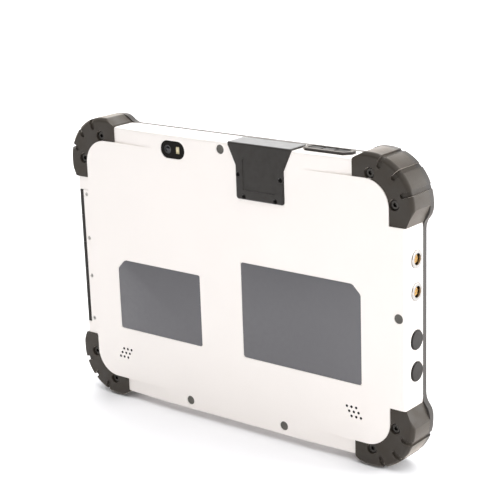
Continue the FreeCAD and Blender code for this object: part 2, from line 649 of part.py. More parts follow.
def cut_left_features(body):
    """Bores for the two round sockets and the two capped jacks in the left edge."""
    thick = "half_width - cavity_x + 2 * past"
    start = "-half_width - past"
    y = "back_plane - socket_depth"
    connectors = [(y, "connector_upper"), (y, "connector_lower")]
    caps = [(y, "cap_upper"), (y, "cap_lower")]
    round_side(body, "Pocket", start, connectors, "barrel_size", thick, 1)
    round_side(body, "Pocket", start, caps, "cap_bore", thick, 1)
    round_side(body, "Pocket", start, caps, "cap_recess_size", "cap_recess + past", 1)


def cut_right_features(body):
    """The flap bay, the seat of its retainer strip and the openings of the five ports."""
    low = ("bay_floor", "division_6")
    high = ("half_width + edge_overrun", "division_1")
    cut_depth(body, "-past", [box_stations(low, high)], "bay_end + past")
    low = ("strip_inner - cover_gap", "division_6")
    cut_depth(body, "-past", [box_stations(low, high)], "strip_floor + past")
    low = ("hinge_x - hinge_bead - seat_gap", "division_6")
    cut_depth(body, "-past", [box_stations(low, high)], "hinge_depth + hinge_bead + seat_over")
    round_depth(body, "Pocket", "0", strip_screw_places(), "m2_bore", "strip_screw_tip + fit_gap")
    sketch = side_sketch(body, "half_width + past")
    for index, (wide, tall) in enumerate(PORT_MOUTHS, start=1):
        middle = ("back_plane - port_depth", flap_middle(index))
        half_y = f"({wide}) / 2 + port_gap"
        half_rise = f"({tall}) / 2 + port_gap"
        draw_loop(sketch, centred(half_y, half_rise, None, middle))
    extrude(body, "Pocket", sketch, "half_width - rail_x + 2 * past")


def make_front_frame():
    """A ring with a rebate for the glass, grooved at its corners like the bumpers."""
    body = plate("front_frame", "shell_depth", [frame_outline()], "total_depth - shell_depth")
    dress(body, "Fillet", "frame_round", lambda edge: at_depth(edge, "total_depth"))
    window = centred("window_x", "window_rise", "bezel_corner")
    cut_depth(body, "shell_depth - past", [window], "total_depth")
    rebate = centred("glass_half_width + rebate_gap", "glass_half_height + rebate_gap", "glass_corner")
    cut_depth(body, "glass_depth", [rebate], "total_depth")
    for side_x, side_up in CORNERS.values():
        cut_grooves(body, side_x, side_up, "shell_depth", "total_depth")
    holes = "case_screw_tip - shell_depth + past"
    round_depth(body, "Pocket", "shell_depth - past", case_screw_places(), "m3_bore", f"{holes} + port_gap")


def make_front_glass():
    outline = centred("glass_half_width", "glass_half_height", "glass_corner - rebate_gap")
    plate("cover_glass", "glass_depth", [outline], "glass_thick")
    plate("display_panel", "panel_depth", [centred("panel_x", "panel_rise", "panel_corner")], "panel_thick")
    camera = new_body("front_camera")
    place = [("0", "front_camera_rise")]
    round_depth(camera, "Pad", "front_camera_depth", place, "front_camera_size", "front_camera_long")


def make_mid_frame():
    """The alloy plate between the boards and the display, with standoffs for the main board."""
    outline = centred("mid_x", "mid_rise", "mid_corner")
    body = plate("mid_frame", "mid_depth", [outline], "mid_thick")
    place = ("battery_x", "battery_rise")
    window = centred("mid_window_x", "mid_window_rise", "mid_window_corner", place)
    cut_depth(body, "mid_depth - past", [window], "mid_thick + 2 * past")
    posts = "mid_depth - board_depth - board_thick"
    round_depth(body, "Pad", "board_depth + board_thick", board_screw_places(), "standoff", posts)
    round_depth(body, "Pocket", "board_depth", board_screw_places(), "m2_bore", "board_screw_long + fit_gap")
    gasket = cavity_outline("gasket_width")
    ring = plate("housing_gasket", "shell_depth - gasket_depth", [gasket], "gasket_depth")
    cut_depth(ring, "shell_depth - gasket_depth - past", [cavity_outline()], "gasket_depth + 2 * past")


# ---------------------------------------------------------------- screws and plugs

def turned_screws(label, places, head, sizes):
    """Socket-head screws along Y. head is (top, floor) depth; sizes are (head, shank, socket, tip)."""
    screws = []
    top, floor = head
    head_size, shank_size, socket_size, tip = sizes
    for index, (x, rise) in enumerate(places, start=1):
        cap = upright_disc(f"{label}_head_{index}", x, rise, top, floor, head_size)
        shank = upright_disc(f"{label}_shank_{index}", x, rise, floor, tip, shank_size)
        whole = doc.addObject("Part::Fuse", f"{label}_solid_{index}")
        whole.Base, whole.Tool = cap, shank
        socket = hex_socket(f"{label}_socket_{index}", x, rise, top, socket_size)
        cut = doc.addObject("Part::Cut", f"{label}_screw_{index}")
        cut.Base, cut.Tool = whole, socket
        screws.append(cut)
    return joined(label, screws)


def upright_disc(name, x, rise, start, end, size):
    """A cylinder along Y between two depths."""
    disc = doc.addObject("Part::Cylinder", name)
    bind(disc, "Radius", f"({size}) / 2")
    bind(disc, "Height", f"({end}) - ({start})")
    disc.Placement.Rotation = FreeCAD.Rotation(FreeCAD.Vector(1, 0, 0), 90)
    bind(disc, "Placement.Base.x", x)
    bind(disc, "Placement.Base.y", f"back_plane - ({start})")
    bind(disc, "Placement.Base.z", f"mid_height + {rise}")
    return disc


def hex_socket(name, x, rise, top, size):
    socket = doc.addObject("Part::Prism", name)
    socket.Polygon = 6
    bind(socket, "Circumradius", f"({size}) / 2 / cos(30)")
    bind(socket, "Height", f"({size}) * socket_share + past")
    socket.Placement.Rotation = FreeCAD.Rotation(FreeCAD.Vector(1, 0, 0), 90)
    bind(socket, "Placement.Base.x", x)
    bind(socket, "Placement.Base.y", f"back_plane - ({top}) + past")
    bind(socket, "Placement.Base.z", f"mid_height + {rise}")
    return socket


def make_fasteners():
    m3 = ("m3_head", "m3_shank", "m3_socket")
    places = bumper_screw_places()
    head = ("bumper_head_top", "counterbore_floor")
    turned_screws("bumper_screws", places, head, m3 + ("bumper_screw_tip",))
    head = ("plug_floor", "case_head_floor")
    turned_screws("casing_screws", case_screw_places(), head, m3 + ("case_screw_tip",))
    cover_sizes = ("cover_screw_head", "m2_shank", "m2_socket", "wall + 2 * past")
    head = ("-cover_head_top", "cover_head_floor")
    turned_screws("scanner_cover_screws", cover_screw_places(), head, cover_sizes)
    strip_sizes = ("strip_screw_head", "m2_shank", "m2_socket", "strip_screw_tip")
    head = ("strip_top + strip_head_sunk", "strip_top + strip_head_sunk + strip_head_tall")
    turned_screws("strip_screws", strip_screw_places(), head, strip_sizes)
    board_sizes = ("m2_head", "m2_shank", "m2_socket", "board_depth + board_screw_long")
    head = ("board_depth - board_head", "board_depth")
    turned_screws("board_screws", board_screw_places(), head, board_sizes)
    plugs = [upright_disc(f"plug_{index}", x, rise, "plug_top", "plug_floor", "plug_size - cover_gap")
             for index, (x, rise) in enumerate(case_screw_places(), start=1)]
    joined("screw_plugs", plugs)


# ---------------------------------------------------------------- back face pieces

def make_back_pieces():
    for name, side in (("small", 1), ("large", -1)):
        outline = label_outline(name, side, "0")
        plate(f"label_plate_{name}", "label_recess - label_thick", [outline], "label_thick")
    make_camera()
    for name, side in (("right", 1), ("left", -1)):
        middle = (f"{side} * grille_x", "grille_rise")
        outline = centred("mesh_size / 2", "mesh_size / 2", "past", middle)
        plate(f"speaker_mesh_{name}", "grille_wall", [outline], "mesh_thick")
        outline = centred("speaker_wide / 2", "speaker_tall / 2", "corner_soft", middle)
        speaker = plate(f"speaker_{name}", "wall", [outline], "speaker_deep")
        half_wide, half_tall = "speaker_wide / 2 - speaker_rim", "speaker_tall / 2 - speaker_rim"
        dish = centred(half_wide, half_tall, "corner_soft - speaker_rim", middle)
        cut_depth(speaker, "wall - past", [dish], "speaker_dish + past")


def make_camera():
    """The rear camera's window, lens, flash and the module behind them."""
    place = ("camera_x", "camera_rise")
    lens_place = ("lens_x", "camera_rise")
    flash = ("flash_x", "camera_rise")
    outline = centred("camera_long / 2", "camera_wide / 2", "camera_wide / 2 - cover_gap", place)
    window = plate("camera_window", "camera_recess - camera_glass", [outline], "camera_glass")
    round_depth(window, "Pocket", "-past", [lens_place], "lens_size", "camera_recess + 2 * past")
    mouth = centred("flash_wide / 2 + cover_gap", "flash_tall / 2 + cover_gap", None, flash)
    cut_depth(window, "-past", [mouth], "camera_recess + 2 * past")
    lens = new_body("camera_lens")
    round_depth(lens, "Pad", "camera_recess - lens_deep", [lens_place], "lens_size - cover_gap", "lens_deep")
    outline = centred("flash_wide / 2", "flash_tall / 2", "rebate_gap", flash)
    plate("flash_led", "flash_start", [outline], "flash_deep")
    module = new_body("camera_module")
    half = "camera_body / 2"
    pad_depth(module, "wall + fit_gap", [centred(half, half, "past", lens_place)], "camera_deep")
    neck = "wall + port_gap - camera_recess"
    round_depth(module, "Pad", "camera_recess", [lens_place], "camera_neck", neck)


def make_scanner():
    """The cover wraps from the back over the top edge, with a shallow framed panel on its face."""
    body = new_body("scanner_cover")
    top = "-scanner_proud"
    pad_depth(body, top, [scanner_outline()], "scanner_proud + scanner_sunk")
    low = ("scanner_x - scanner_half_top", "scanner_shoulder")
    high = ("scanner_x + scanner_half_top", "scanner_top")
    pad_depth(body, top, [box_stations(low, high)], "scanner_proud + scanner_reach")
    dress(body, "Fillet", "scanner_round", lambda edge: at_depth(edge, top) and edge.Length > 1)
    crest = number("mid_height + scanner_top")
    shortest = number("overcut")

    def crest_side(edge):
        flat = all(abs(vertex.Z - crest) < NEAR for vertex in edge.Vertexes)
        return flat and edge.Length > shortest and edge.CenterOfMass.y < number("back_plane - past")

    dress(body, "Fillet", "scanner_round / 2", crest_side)
    low = ("scanner_x - panel_line_x", "panel_line_low")
    high = ("scanner_x + panel_line_x", "panel_line_high")
    cut_depth(body, "-scanner_proud - past", [box_stations(low, high, "past")], "past + panel_line_deep")
    deep = "cover_head_floor + overcut"
    round_depth(body, "Pocket", "-overcut", cover_screw_places(), "cover_screw_head + 2 * fit_gap", deep)
    round_depth(body, "Pocket", "-overcut", cover_screw_places(), "m2_bore + fit_gap", "2 * overcut")
    low = ("scan_window_x1", "half_height - scan_window_thick - fit_gap")
    high = ("scan_window_x2", "half_height - fit_gap")
    thick = "shell_depth - scan_window_start"
    plate("scan_window", "scan_window_start", [box_stations(low, high)], thick)
    middle = ("scanner_x", "engine_rise")
    engine_loop = centred("engine_wide / 2", "engine_half_tall", "panel_corner", middle)
    engine = plate("scan_engine", "wall + engine_lift", [engine_loop], "engine_deep")
    eye = centred("eye_half_wide", "eye_half_tall", "past", ("scanner_x", "eye_rise"))
    pad_depth(engine, "wall + eye_lift", [eye], "eye_deep")


# ---------------------------------------------------------------- top keys

def key_bar_outline(grow="0"):
    """A long bar with cut corners, drawn from above."""
    half, wide, cut = f"(key_bar_half + {grow})", f"(key_bar_half_wide + {grow})", "key_bar_cut"
    loop = [(f"-{half}", f"-{wide} + {cut}"), (f"-{half} + {cut}", f"-{wide}"),
            (f"{half} - {cut}", f"-{wide}"), (half, f"-{wide} + {cut}"), (half, f"{wide} - {cut}"),
            (f"{half} - {cut}", wide), (f"-{half} + {cut}", wide), (f"-{half}", f"{wide} - {cut}")]
    return [(f"key_bar_x + {x}", f"key_bar_y + {y}") for x, y in loop]


def make_keys():
    bar = new_body("key_bezel")
    sketch = level_sketch(bar, "half_height - key_bar_sunk")
    draw_loop(sketch, key_bar_outline())
    extrude(bar, "Pad", sketch, "key_bar_sunk + key_bar_top")
    crest = number("mid_height + half_height + key_bar_top")
    dress(bar, "Fillet", "key_bar_round", lambda edge: at_level(edge, crest))
    sketch = level_sketch(bar, "half_height - overcut")
    middle = ("key_bar_x", "key_bar_y")
    draw_loop(sketch, centred("key_well_half", "key_well_half_wide", "key_well_corner", middle))
    extrude(bar, "Pocket", sketch, "2 * overcut", reversed_way=True)
    top = number("mid_height + half_height + key_bar_top - key_sink")
    foot = "half_height - key_bar_sunk - key_flange"
    for place, name in enumerate(("volume_down_key", "volume_up_key", "power_key"), start=-1):
        key = new_body(name)
        middle = (f"key_bar_x + {place} * (key_long + key_gap * 2)", "key_bar_y")
        sketch = level_sketch(key, foot)
        draw_loop(sketch, centred("key_long / 2", "key_well_half_wide + key_gap", None, middle))
        extrude(key, "Pad", sketch, "key_flange")
        sketch = level_sketch(key, foot)
        draw_loop(sketch, centred("key_long / 2", "key_well_half_wide - key_gap", "key_corner", middle))
        extrude(key, "Pad", sketch, "key_flange + key_bar_sunk + key_bar_top - key_sink")
        dress(key, "Fillet", "key_round", lambda edge: at_level(edge, top))


def at_level(edge, height):
    """Whether an edge lies flat at a height above the ground."""
    return all(abs(vertex.Z - height) < NEAR for vertex in edge.Vertexes)


# ---------------------------------------------------------------- left edge

def make_connector(name, rise):
    """A round panel socket: flanged shell, a stepped insulator and a ring of contact pins."""
    centre = [("back_plane - socket_depth", rise)]
    shell = new_body(f"connector_{name}_shell")
    round_side(shell, "Pad", "-half_width - ring_proud", centre, "ring_size", "ring_proud", 1)
    outer = number("half_width + ring_proud")
    dress(shell, "Fillet", "ring_round", lambda edge: at_side(edge, -outer))
    barrel = "half_width - barrel_end"
    round_side(shell, "Pad", "-half_width", centre, "barrel_size - fit_gap", barrel, 1)
    bore_long = f"{barrel} + past"
    round_side(shell, "Pocket", "-half_width - past", centre, "connector_bore", bore_long, 1)
    insert = new_body(f"connector_{name}_insert")
    disc = "insert_face - barrel_end - insert_back"
    round_side(insert, "Pad", "-insert_face", centre, "connector_bore - cover_gap", disc, 1)
    round_side(insert, "Pad", "-insert_tip", centre, "insert_boss", "insert_tip - insert_face", 1)
    rooted = "insert_tip - insert_face + pin_rooted"
    round_side(insert, "Pocket", "-insert_tip - past", pin_places(rise), "pin_size", f"{rooted} + past", 1)
    pins = []
    for index, (y, pin_rise) in enumerate(pin_places(rise), start=1):
        pin = doc.addObject("Part::Cylinder", f"connector_{name}_pin_{index}")
        bind(pin, "Radius", "(pin_size - cover_gap / 2) / 2")
        bind(pin, "Height", "pin_tip - insert_face + pin_rooted")
        pin.Placement.Rotation = FreeCAD.Rotation(FreeCAD.Vector(0, 1, 0), 90)
        bind(pin, "Placement.Base.x", "-pin_tip")
        bind(pin, "Placement.Base.y", y)
        bind(pin, "Placement.Base.z", f"mid_height + {pin_rise}")
        pins.append(pin)
    joined(f"connector_{name}_pins", pins)


def at_side(edge, x):
    """Whether an edge lies in a plane of constant x."""
    return all(abs(vertex.X - x) < NEAR for vertex in edge.Vertexes)


def pin_places(rise):
    """One pin in the middle and six on a circle round it."""
    places = [("back_plane - socket_depth", rise)]
    for heading in range(0, 360, 60):
        y = f"back_plane - socket_depth + pin_circle / 2 * cos({heading})"
        places.append((y, f"{rise} + pin_circle / 2 * sin({heading})"))
    return places


def make_left_edge():
    make_connector("upper", "connector_upper")
    make_connector("lower", "connector_lower")
    nuts = []
    for index, rise in enumerate(("connector_upper", "connector_lower"), start=1):
        blank = doc.addObject("Part::Prism", f"nut_blank_{index}")
        blank.Polygon = 6
        bind(blank, "Circumradius", "nut_size / 2")
        bind(blank, "Height", "nut_thick")
        hole = doc.addObject("Part::Cylinder", f"nut_hole_{index}")
        bind(hole, "Radius", "barrel_size / 2")
        bind(hole, "Height", "nut_thick")
        for solid in (blank, hole):
            solid.Placement.Rotation = FreeCAD.Rotation(FreeCAD.Vector(0, 1, 0), 90)
            bind(solid, "Placement.Base.x", "-cavity_x")
            bind(solid, "Placement.Base.y", "back_plane - socket_depth")
            bind(solid, "Placement.Base.z", f"mid_height + {rise}")
        nut = doc.addObject("Part::Cut", f"nut_{index}")
        nut.Base, nut.Tool = blank, hole
        nuts.append(nut)
    joined("connector_nuts", nuts)
    for name, jack in (("upper", "power_socket"), ("lower", "antenna_socket")):
        make_cap(name, f"cap_{name}")
        make_jack(jack, f"cap_{name}")


def make_cap(name, rise):
    """A domed rubber cap with a hollow stem that plugs a jack's bore."""
    centre = [("back_plane - socket_depth", rise)]
    cap = new_body(f"port_cap_{name}")
    outer = "half_width - cap_recess + cap_proud + cap_lip"
    round_side(cap, "Pad", f"-({outer})", centre, "cap_size", "cap_proud + cap_lip", 1)
    face = number(outer)
    dress(cap, "Fillet", "cap_round", lambda edge: at_side(edge, -face))
    round_side(cap, "Pad", "-half_width", centre, "cap_stem", "half_width - cap_stem_end", 1)
    hollow = "cap_stem - 2 * cap_stem_wall"
    round_side(cap, "Pocket", "-cap_stem_end + past", centre, hollow, "cap_hollow + past", -1)


def make_jack(label, rise):
    """A round jack with a central pin, behind a cap."""
    centre = [("back_plane - socket_depth", rise)]
    jack = new_body(label)
    round_side(jack, "Pad", "-jack_face", centre, "cap_bore - 2 * fit_gap", "jack_face - jack_end", 1)
    round_side(jack, "Pocket", "-jack_face - past", centre, "jack_bore", "jack_deep + past", 1)
    round_side(jack, "Pad", "-jack_face + jack_pin_sunk", centre, "jack_pin", "jack_pin_long", 1)


# ---------------------------------------------------------------- right edge

PORT_MOUTHS = (("5.7", "13.1"), ("3.4", "9.1"), ("3.4", "11.4"), ("2.8", "13.4"), ("6.0", "6.0"))
PORT_NAMES = ("usb_a_socket", "usb_c_socket", "hdmi_socket", "card_slot", "audio_jack")
PORT_TONGUES = (("1.8", "11.0"), ("0.7", "6.7"), ("0.8", "7.6"), None, None)


def flap_middle(index):
    return f"(division_{index} + division_{index + 1}) / 2"


def make_flap(index):
    """A rubber flap: hinge bead under the strip's edge, bend over the back edge, skin and plug boss."""
    body = new_body(f"port_flap_{index}")
    low_rise = f"division_{index + 1} + flap_gap"
    tall = f"division_{index} - division_{index + 1} - 2 * flap_gap"
    inner = "half_width - flap_skin"
    back = "back_plane - bay_start"
    front = "back_plane - bay_end + flap_short"
    bead = "hinge_bead"
    sketch = level_sketch(body, f"({low_rise})")
    skin = [("hinge_x", back), ("half_width - flap_bend", back, "flap_bend", -1),
            ("half_width", f"{back} - flap_bend"), ("half_width", front), (inner, front),
            (inner, f"back_plane - hinge_depth - {bead}"), ("hinge_x", f"back_plane - hinge_depth - {bead}")]
    draw_loop(sketch, skin)
    extrude(body, "Pad", sketch, tall)
    sketch = level_sketch(body, f"({low_rise})")
    draw_circles(sketch, [("hinge_x", "back_plane - hinge_depth")], "2 * hinge_bead")
    extrude(body, "Pad", sketch, tall)
    sketch = side_sketch(body, f"{inner} + fit_gap")
    middle = ("back_plane - port_depth", flap_middle(index))
    mouth_wide, mouth_tall = PORT_MOUTHS[index - 1]
    half_wide, half_tall = f"{mouth_wide} / 2 - boss_inset", f"{mouth_tall} / 2 - boss_inset"
    draw_loop(sketch, centred(half_wide, half_tall, "boss_corner", middle))
    extrude(body, "Pad", sketch, "boss_deep + fit_gap", reversed_way=True)


def make_port(index):
    """A socket on the edge of the main board: a metal mouth, hollow, with a tongue where it has one."""
    wide, tall = PORT_MOUTHS[index - 1]
    tongue = PORT_TONGUES[index - 1]
    body = new_body(PORT_NAMES[index - 1])
    middle = ("back_plane - port_depth", flap_middle(index))
    corner = "port_corner" if tongue is None or index > 1 else None
    sketch = side_sketch(body, "port_inner")
    draw_loop(sketch, centred(f"{wide} / 2", f"{tall} / 2", corner, middle))
    extrude(body, "Pad", sketch, "port_face - port_inner")
    sketch = side_sketch(body, "port_face")
    mouth = (f"{wide} / 2 - port_wall", f"{tall} / 2 - port_wall")
    draw_loop(sketch, centred(*mouth, corner and "port_mouth_corner", middle))
    extrude(body, "Pocket", sketch, "port_deep")
    if tongue:
        sketch = side_sketch(body, "port_face - port_deep - fit_gap")
        draw_loop(sketch, centred(f"{tongue[0]} / 2", f"{tongue[1]} / 2", None, middle))
        extrude(body, "Pad", sketch, "tongue_long")


def make_right_edge():
    low = ("strip_inner", "division_6 + strip_slack")
    high = ("strip_outer", "division_1 - strip_slack")
    loop = box_stations(low, high, "strip_corner")
    strip = plate("flap_retainer_strip", "strip_top", [loop], "strip_floor - strip_top")
    dress(strip, "Fillet", "strip_round", lambda edge: at_depth(edge, "strip_top"))
    deep = "strip_top + strip_head_sunk + strip_head_tall"
    round_depth(strip, "Pocket", "0", strip_screw_places(), "strip_screw_head + port_gap", deep)
    round_depth(strip, "Pocket", "0", strip_screw_places(), "m2_bore + fit_gap", "strip_floor + past")
    for index in range(1, FLAP_COUNT + 1):
        make_flap(index)
        make_port(index)


# ---------------------------------------------------------------- electronics

def make_electronics():
    outline = centred("board_half_width", "board_half_height", "2 * past", ("board_x", "0"))
    board = plate("main_board", "board_depth", [outline], "board_thick")
    holes = "board_thick + 2 * past"
    round_depth(board, "Pocket", "board_depth - past", board_screw_places(), "m2_bore + fit_gap", holes)
    shields = []
    for chip in ("cpu", "radio", "charger"):
        size = (f"{chip}_wide", f"{chip}_tall", "shield_tall")
        foot = "board_depth - shield_tall"
        shields.append(block(f"shield_{chip}", f"{chip}_x", f"{chip}_rise", foot, size))
    joined("board_shields", shields)
    place = ("battery_x", "battery_rise")
    battery = centred("battery_half_width", "battery_half_height", "corner_soft", place)
    pack = plate("battery_pack", "battery_depth", [battery], "battery_thick")
    dress(pack, "Fillet", "past", lambda edge: at_depth(edge, "battery_depth"))
    patch = centred("gnss_size / 2", "gnss_size / 2", "past", ("gnss_x", "gnss_rise"))
    plate("gnss_antenna", "wall + gnss_lift", [patch], "gnss_thick")


# ---------------------------------------------------------------- build, check and export

def export_pieces():
    """Write each piece that computed cleanly to its own file, and refuse to go on otherwise."""
    doc.recompute()
    for item in doc.Objects:
        if "Invalid" in item.State or "Error" in item.State:
            raise RuntimeError(f"{item.Label} failed: {item.State}")
    os.makedirs("parts", exist_ok=True)
    for piece in pieces:
        shape = piece.Shape
        if shape.isNull() or not shape.isValid():
            raise RuntimeError(f"{piece.Label} has no valid shape")
        shape.exportStep(f"parts/{piece.Label}.step")
        print(f"{piece.Label:26s} solids {len(shape.Solids)}  volume {shape.Volume:10.1f}")


make_rear_shell()
for corner_name, corner_sides in CORNERS.items():
    make_bumper(corner_name, *corner_sides)
make_front_frame()
make_front_glass()
make_mid_frame()
make_fasteners()
make_back_pieces()
make_scanner()
make_keys()
make_left_edge()
make_right_edge()
make_electronics()
export_pieces()
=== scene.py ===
import json
import math

import bmesh
import bpy
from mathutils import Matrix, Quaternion, Vector

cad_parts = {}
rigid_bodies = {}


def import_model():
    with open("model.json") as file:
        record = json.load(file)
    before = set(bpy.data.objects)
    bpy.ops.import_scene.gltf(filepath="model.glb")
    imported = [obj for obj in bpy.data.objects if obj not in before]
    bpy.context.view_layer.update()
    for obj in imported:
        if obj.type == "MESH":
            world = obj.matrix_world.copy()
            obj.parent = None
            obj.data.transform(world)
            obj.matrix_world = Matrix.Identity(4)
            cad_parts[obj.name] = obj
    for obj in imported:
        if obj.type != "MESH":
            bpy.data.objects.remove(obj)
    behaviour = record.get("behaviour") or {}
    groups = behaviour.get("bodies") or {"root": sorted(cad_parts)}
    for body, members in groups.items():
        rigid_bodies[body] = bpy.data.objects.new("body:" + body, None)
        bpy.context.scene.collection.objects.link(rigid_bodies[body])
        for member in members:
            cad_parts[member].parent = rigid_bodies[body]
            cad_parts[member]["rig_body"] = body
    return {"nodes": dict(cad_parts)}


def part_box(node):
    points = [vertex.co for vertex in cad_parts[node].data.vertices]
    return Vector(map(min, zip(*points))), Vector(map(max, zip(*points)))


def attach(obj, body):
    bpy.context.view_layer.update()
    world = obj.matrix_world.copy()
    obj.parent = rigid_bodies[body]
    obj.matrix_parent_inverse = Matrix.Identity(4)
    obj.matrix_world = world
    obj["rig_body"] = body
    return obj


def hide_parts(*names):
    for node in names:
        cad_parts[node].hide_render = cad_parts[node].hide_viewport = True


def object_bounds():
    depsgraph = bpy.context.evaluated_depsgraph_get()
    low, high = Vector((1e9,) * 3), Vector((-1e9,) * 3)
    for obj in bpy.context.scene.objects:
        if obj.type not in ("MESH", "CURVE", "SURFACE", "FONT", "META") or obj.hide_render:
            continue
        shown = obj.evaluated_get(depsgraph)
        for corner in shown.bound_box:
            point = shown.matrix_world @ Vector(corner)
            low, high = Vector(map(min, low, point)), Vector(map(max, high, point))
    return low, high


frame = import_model()
CAD_BOX = [list(corner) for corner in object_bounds()]

bl_info = {
    "name": "Rugged Data Collector",
    "version": (1, 0, 0),
    "blender": (4, 5, 0),
    "location": "3D View > Sidebar > Collector",
    "description": "Finishes a rugged tablet data collector: rubber corners, sockets, keys, flaps and studio",
    "category": "Object",
}

# Everything is in metres in the shared frame: the screen faces -Y, the back +Y, the sockets -X, the flaps +X.
MM = 0.001
BACK = Vector((0, 1, 0))
SOCKET_SIDE = Vector((-1, 0, 0))
MERGE = 0.002 * MM        # CAD triangles share corners to far better than this
FLAT = math.radians(0.6)  # faces within this of each other are one flat face
CREASE = math.radians(28)  # a CAD edge sharper than this is a moulded or cut edge, to be rounded
GENTLE = math.radians(60)  # a crease shallower than this can take a broad rounding
SHARP = math.radians(42)  # shading breaks at edges sharper than this
TIMES = ("ShaderNodeMath", {"operation": "MULTIPLY"})
MINUS = ("ShaderNodeMath", {"operation": "SUBTRACT"})
SEED = 5                  # the fixed seed of every random turn
PLACES = 5                # decimals of a metre that count when separate solids are put in order
UPRIGHT = 0.9             # an edge is upright when this share of it or more runs along the back's normal
MIDDLE = (0.3, 0.7)       # most of a noise value lies between these
CIRCLE = 72               # sides of a turned solid
HEAD_SIDES, SHANK_SIDES = 40, 24
CONTACT_SIDES, CONTACT_RINGS = 20, 10
SHANK_SHARE = 0.5         # a screw's shank against its head, across
KEY_DEPTH_SHARE = 0.5     # a hexagon socket's depth against its width
HEAD_CHAMFER = 3          # a head's chamfer, in machined chamfers
HEAD_HEIGHTS = {"bumper_screws": 1.7 * MM, "casing_screws": 2.4 * MM, "scanner_cover_screws": 1.0 * MM,
                "strip_screws": 0.8 * MM, "board_screws": 1.2 * MM}
GLASS_ROUND = 0.2 * MM
WINDOW_ROUND = 0.25 * MM
FLANGE_ROUND = 0.12 * MM
HOLE_SHADE_DEPTH = 0.12 * MM   # how far the white reaches into a speaker hole; deeper than this, the hole's walls are painted near-black as shade
BOSS_RADIUS = 2.7 * MM    # the natural tan boss in the middle of a round socket's insert
COLLAR_BLEND = 0.02 * MM  # either side of that radius, the boss's colour gives way to the collar's
BLACK_BORDER = 6 * MM     # the printed border reaches this far over the display
FRESNEL_STEP = 0.35 * MM
# From the middle outwards: share of the radius, and depth below the face in millimetres.
LENS_STEPS = ((0, 0.12), (0.2, 0.15), (0.36, 0.24), (0.48, 0.4), (0.52, 0.5), (0.66, 0.5), (0.68, 0.32),
              (0.8, 0.32), (0.83, 0.12), (0.93, 0.08), (0.99, 0.14), (1, 0.25))
PLUG_DISH = ((0, 0.25), (0.62, 0.2), (0.74, 0.02))
PLUG_LIP = 0.3 * MM
PLUG_CORNER = 0.3         # the middle of the lip's rounding, as a share of the lip


def linear(code):
    """An sRGB hex colour as linear red, green and blue."""
    parts = [int(code[i:i + 2], 16) / 255 for i in (1, 3, 5)]
    return tuple(p / 12.92 if p <= 0.04045 else ((p + 0.055) / 1.055) ** 2.4 for p in parts)


def add(tree, kind, settings=None, inputs=None):
    """Adds a node with its settings, and with its inputs as constants or links from other sockets."""
    made = tree.nodes.new(kind)
    for name, value in (settings or {}).items():
        setattr(made, name, value)
    for name, value in (inputs or {}).items():
        if isinstance(value, bpy.types.NodeSocket):
            tree.links.new(value, made.inputs[name])
        else:
            made.inputs[name].default_value = value
    return made


# ---------------------------------------------------------------- what a user may change

class CollectorSizes(bpy.types.PropertyGroup):
    """Sizes of the fine detail."""

    rubber_round: bpy.props.FloatProperty(
        name="Rubber Rounding", description="Radius of the moulded edges of the corner bumpers",
        default=0.3 * MM, min=0.1 * MM, max=0.6 * MM, unit="LENGTH")
    rubber_blend: bpy.props.FloatProperty(
        name="Rubber Blend", description="Radius that blends the bumpers' chamfers into their faces",
        default=0.85 * MM, min=0.2 * MM, max=0.95 * MM, unit="LENGTH")
    moulded_round: bpy.props.FloatProperty(
        name="Moulded Rounding", description="Radius of the edges of plastic covers, keys and flaps",
        default=0.18 * MM, min=0.02 * MM, max=0.5 * MM, unit="LENGTH")
    film_round: bpy.props.FloatProperty(
        name="Film Rounding", description="Radius of the corners of the two label films",
        default=1.6 * MM, min=0.2 * MM, max=4 * MM, unit="LENGTH")
    machined_round: bpy.props.FloatProperty(
        name="Machined Chamfer", description="Chamfer on turned metal edges",
        default=0.08 * MM, min=0.01 * MM, max=0.3 * MM, unit="LENGTH")
    bumper_key: bpy.props.FloatProperty(
        name="Bumper Screw Key", description="Width across the hexagon socket of a bumper screw",
        default=2.5 * MM, min=1 * MM, max=4 * MM, unit="LENGTH")
    small_key: bpy.props.FloatProperty(
        name="Small Screw Key", description="Width across the hexagon socket of a cover or strip screw",
        default=1.2 * MM, min=0.5 * MM, max=2 * MM, unit="LENGTH")
    contact_size: bpy.props.FloatProperty(
        name="Contact Diameter", description="Diameter of a gold contact in the round sockets",
        default=0.84 * MM, min=0.4 * MM, max=1.5 * MM, unit="LENGTH")


class CollectorColours(bpy.types.PropertyGroup):
    """Colours of the visible finishes."""

    shell: bpy.props.FloatVectorProperty(
        name="Housing", description="White paint of the rear housing", subtype="COLOR", size=3,
        min=0, max=1, default=linear("#f3ede8"))
    rubber: bpy.props.FloatVectorProperty(
        name="Corners", description="Rubber of the four corner bumpers", subtype="COLOR", size=3,
        min=0, max=1, default=linear("#2b241b"))
    band: bpy.props.FloatVectorProperty(
        name="Front Frame", description="Rubber of the front frame", subtype="COLOR", size=3,
        min=0, max=1, default=linear("#3c3937"))
    label: bpy.props.FloatVectorProperty(
        name="Label Film", description="Printed grey of the two label panels", subtype="COLOR", size=3,
        min=0, max=1, default=linear("#5b5a5d"))
    cover: bpy.props.FloatVectorProperty(
        name="Scanner Cover", description="Plastic of the scanner cover", subtype="COLOR", size=3,
        min=0, max=1, default=linear("#1c1711"))
    plug: bpy.props.FloatVectorProperty(
        name="Plugs", description="Rubber of the four screw plugs", subtype="COLOR", size=3,
        min=0, max=1, default=linear("#5a5853"))
    cap: bpy.props.FloatVectorProperty(
        name="Caps", description="Rubber of the two round caps", subtype="COLOR", size=3,
        min=0, max=1, default=linear("#1d1a18"))


# ---------------------------------------------------------------- finishes

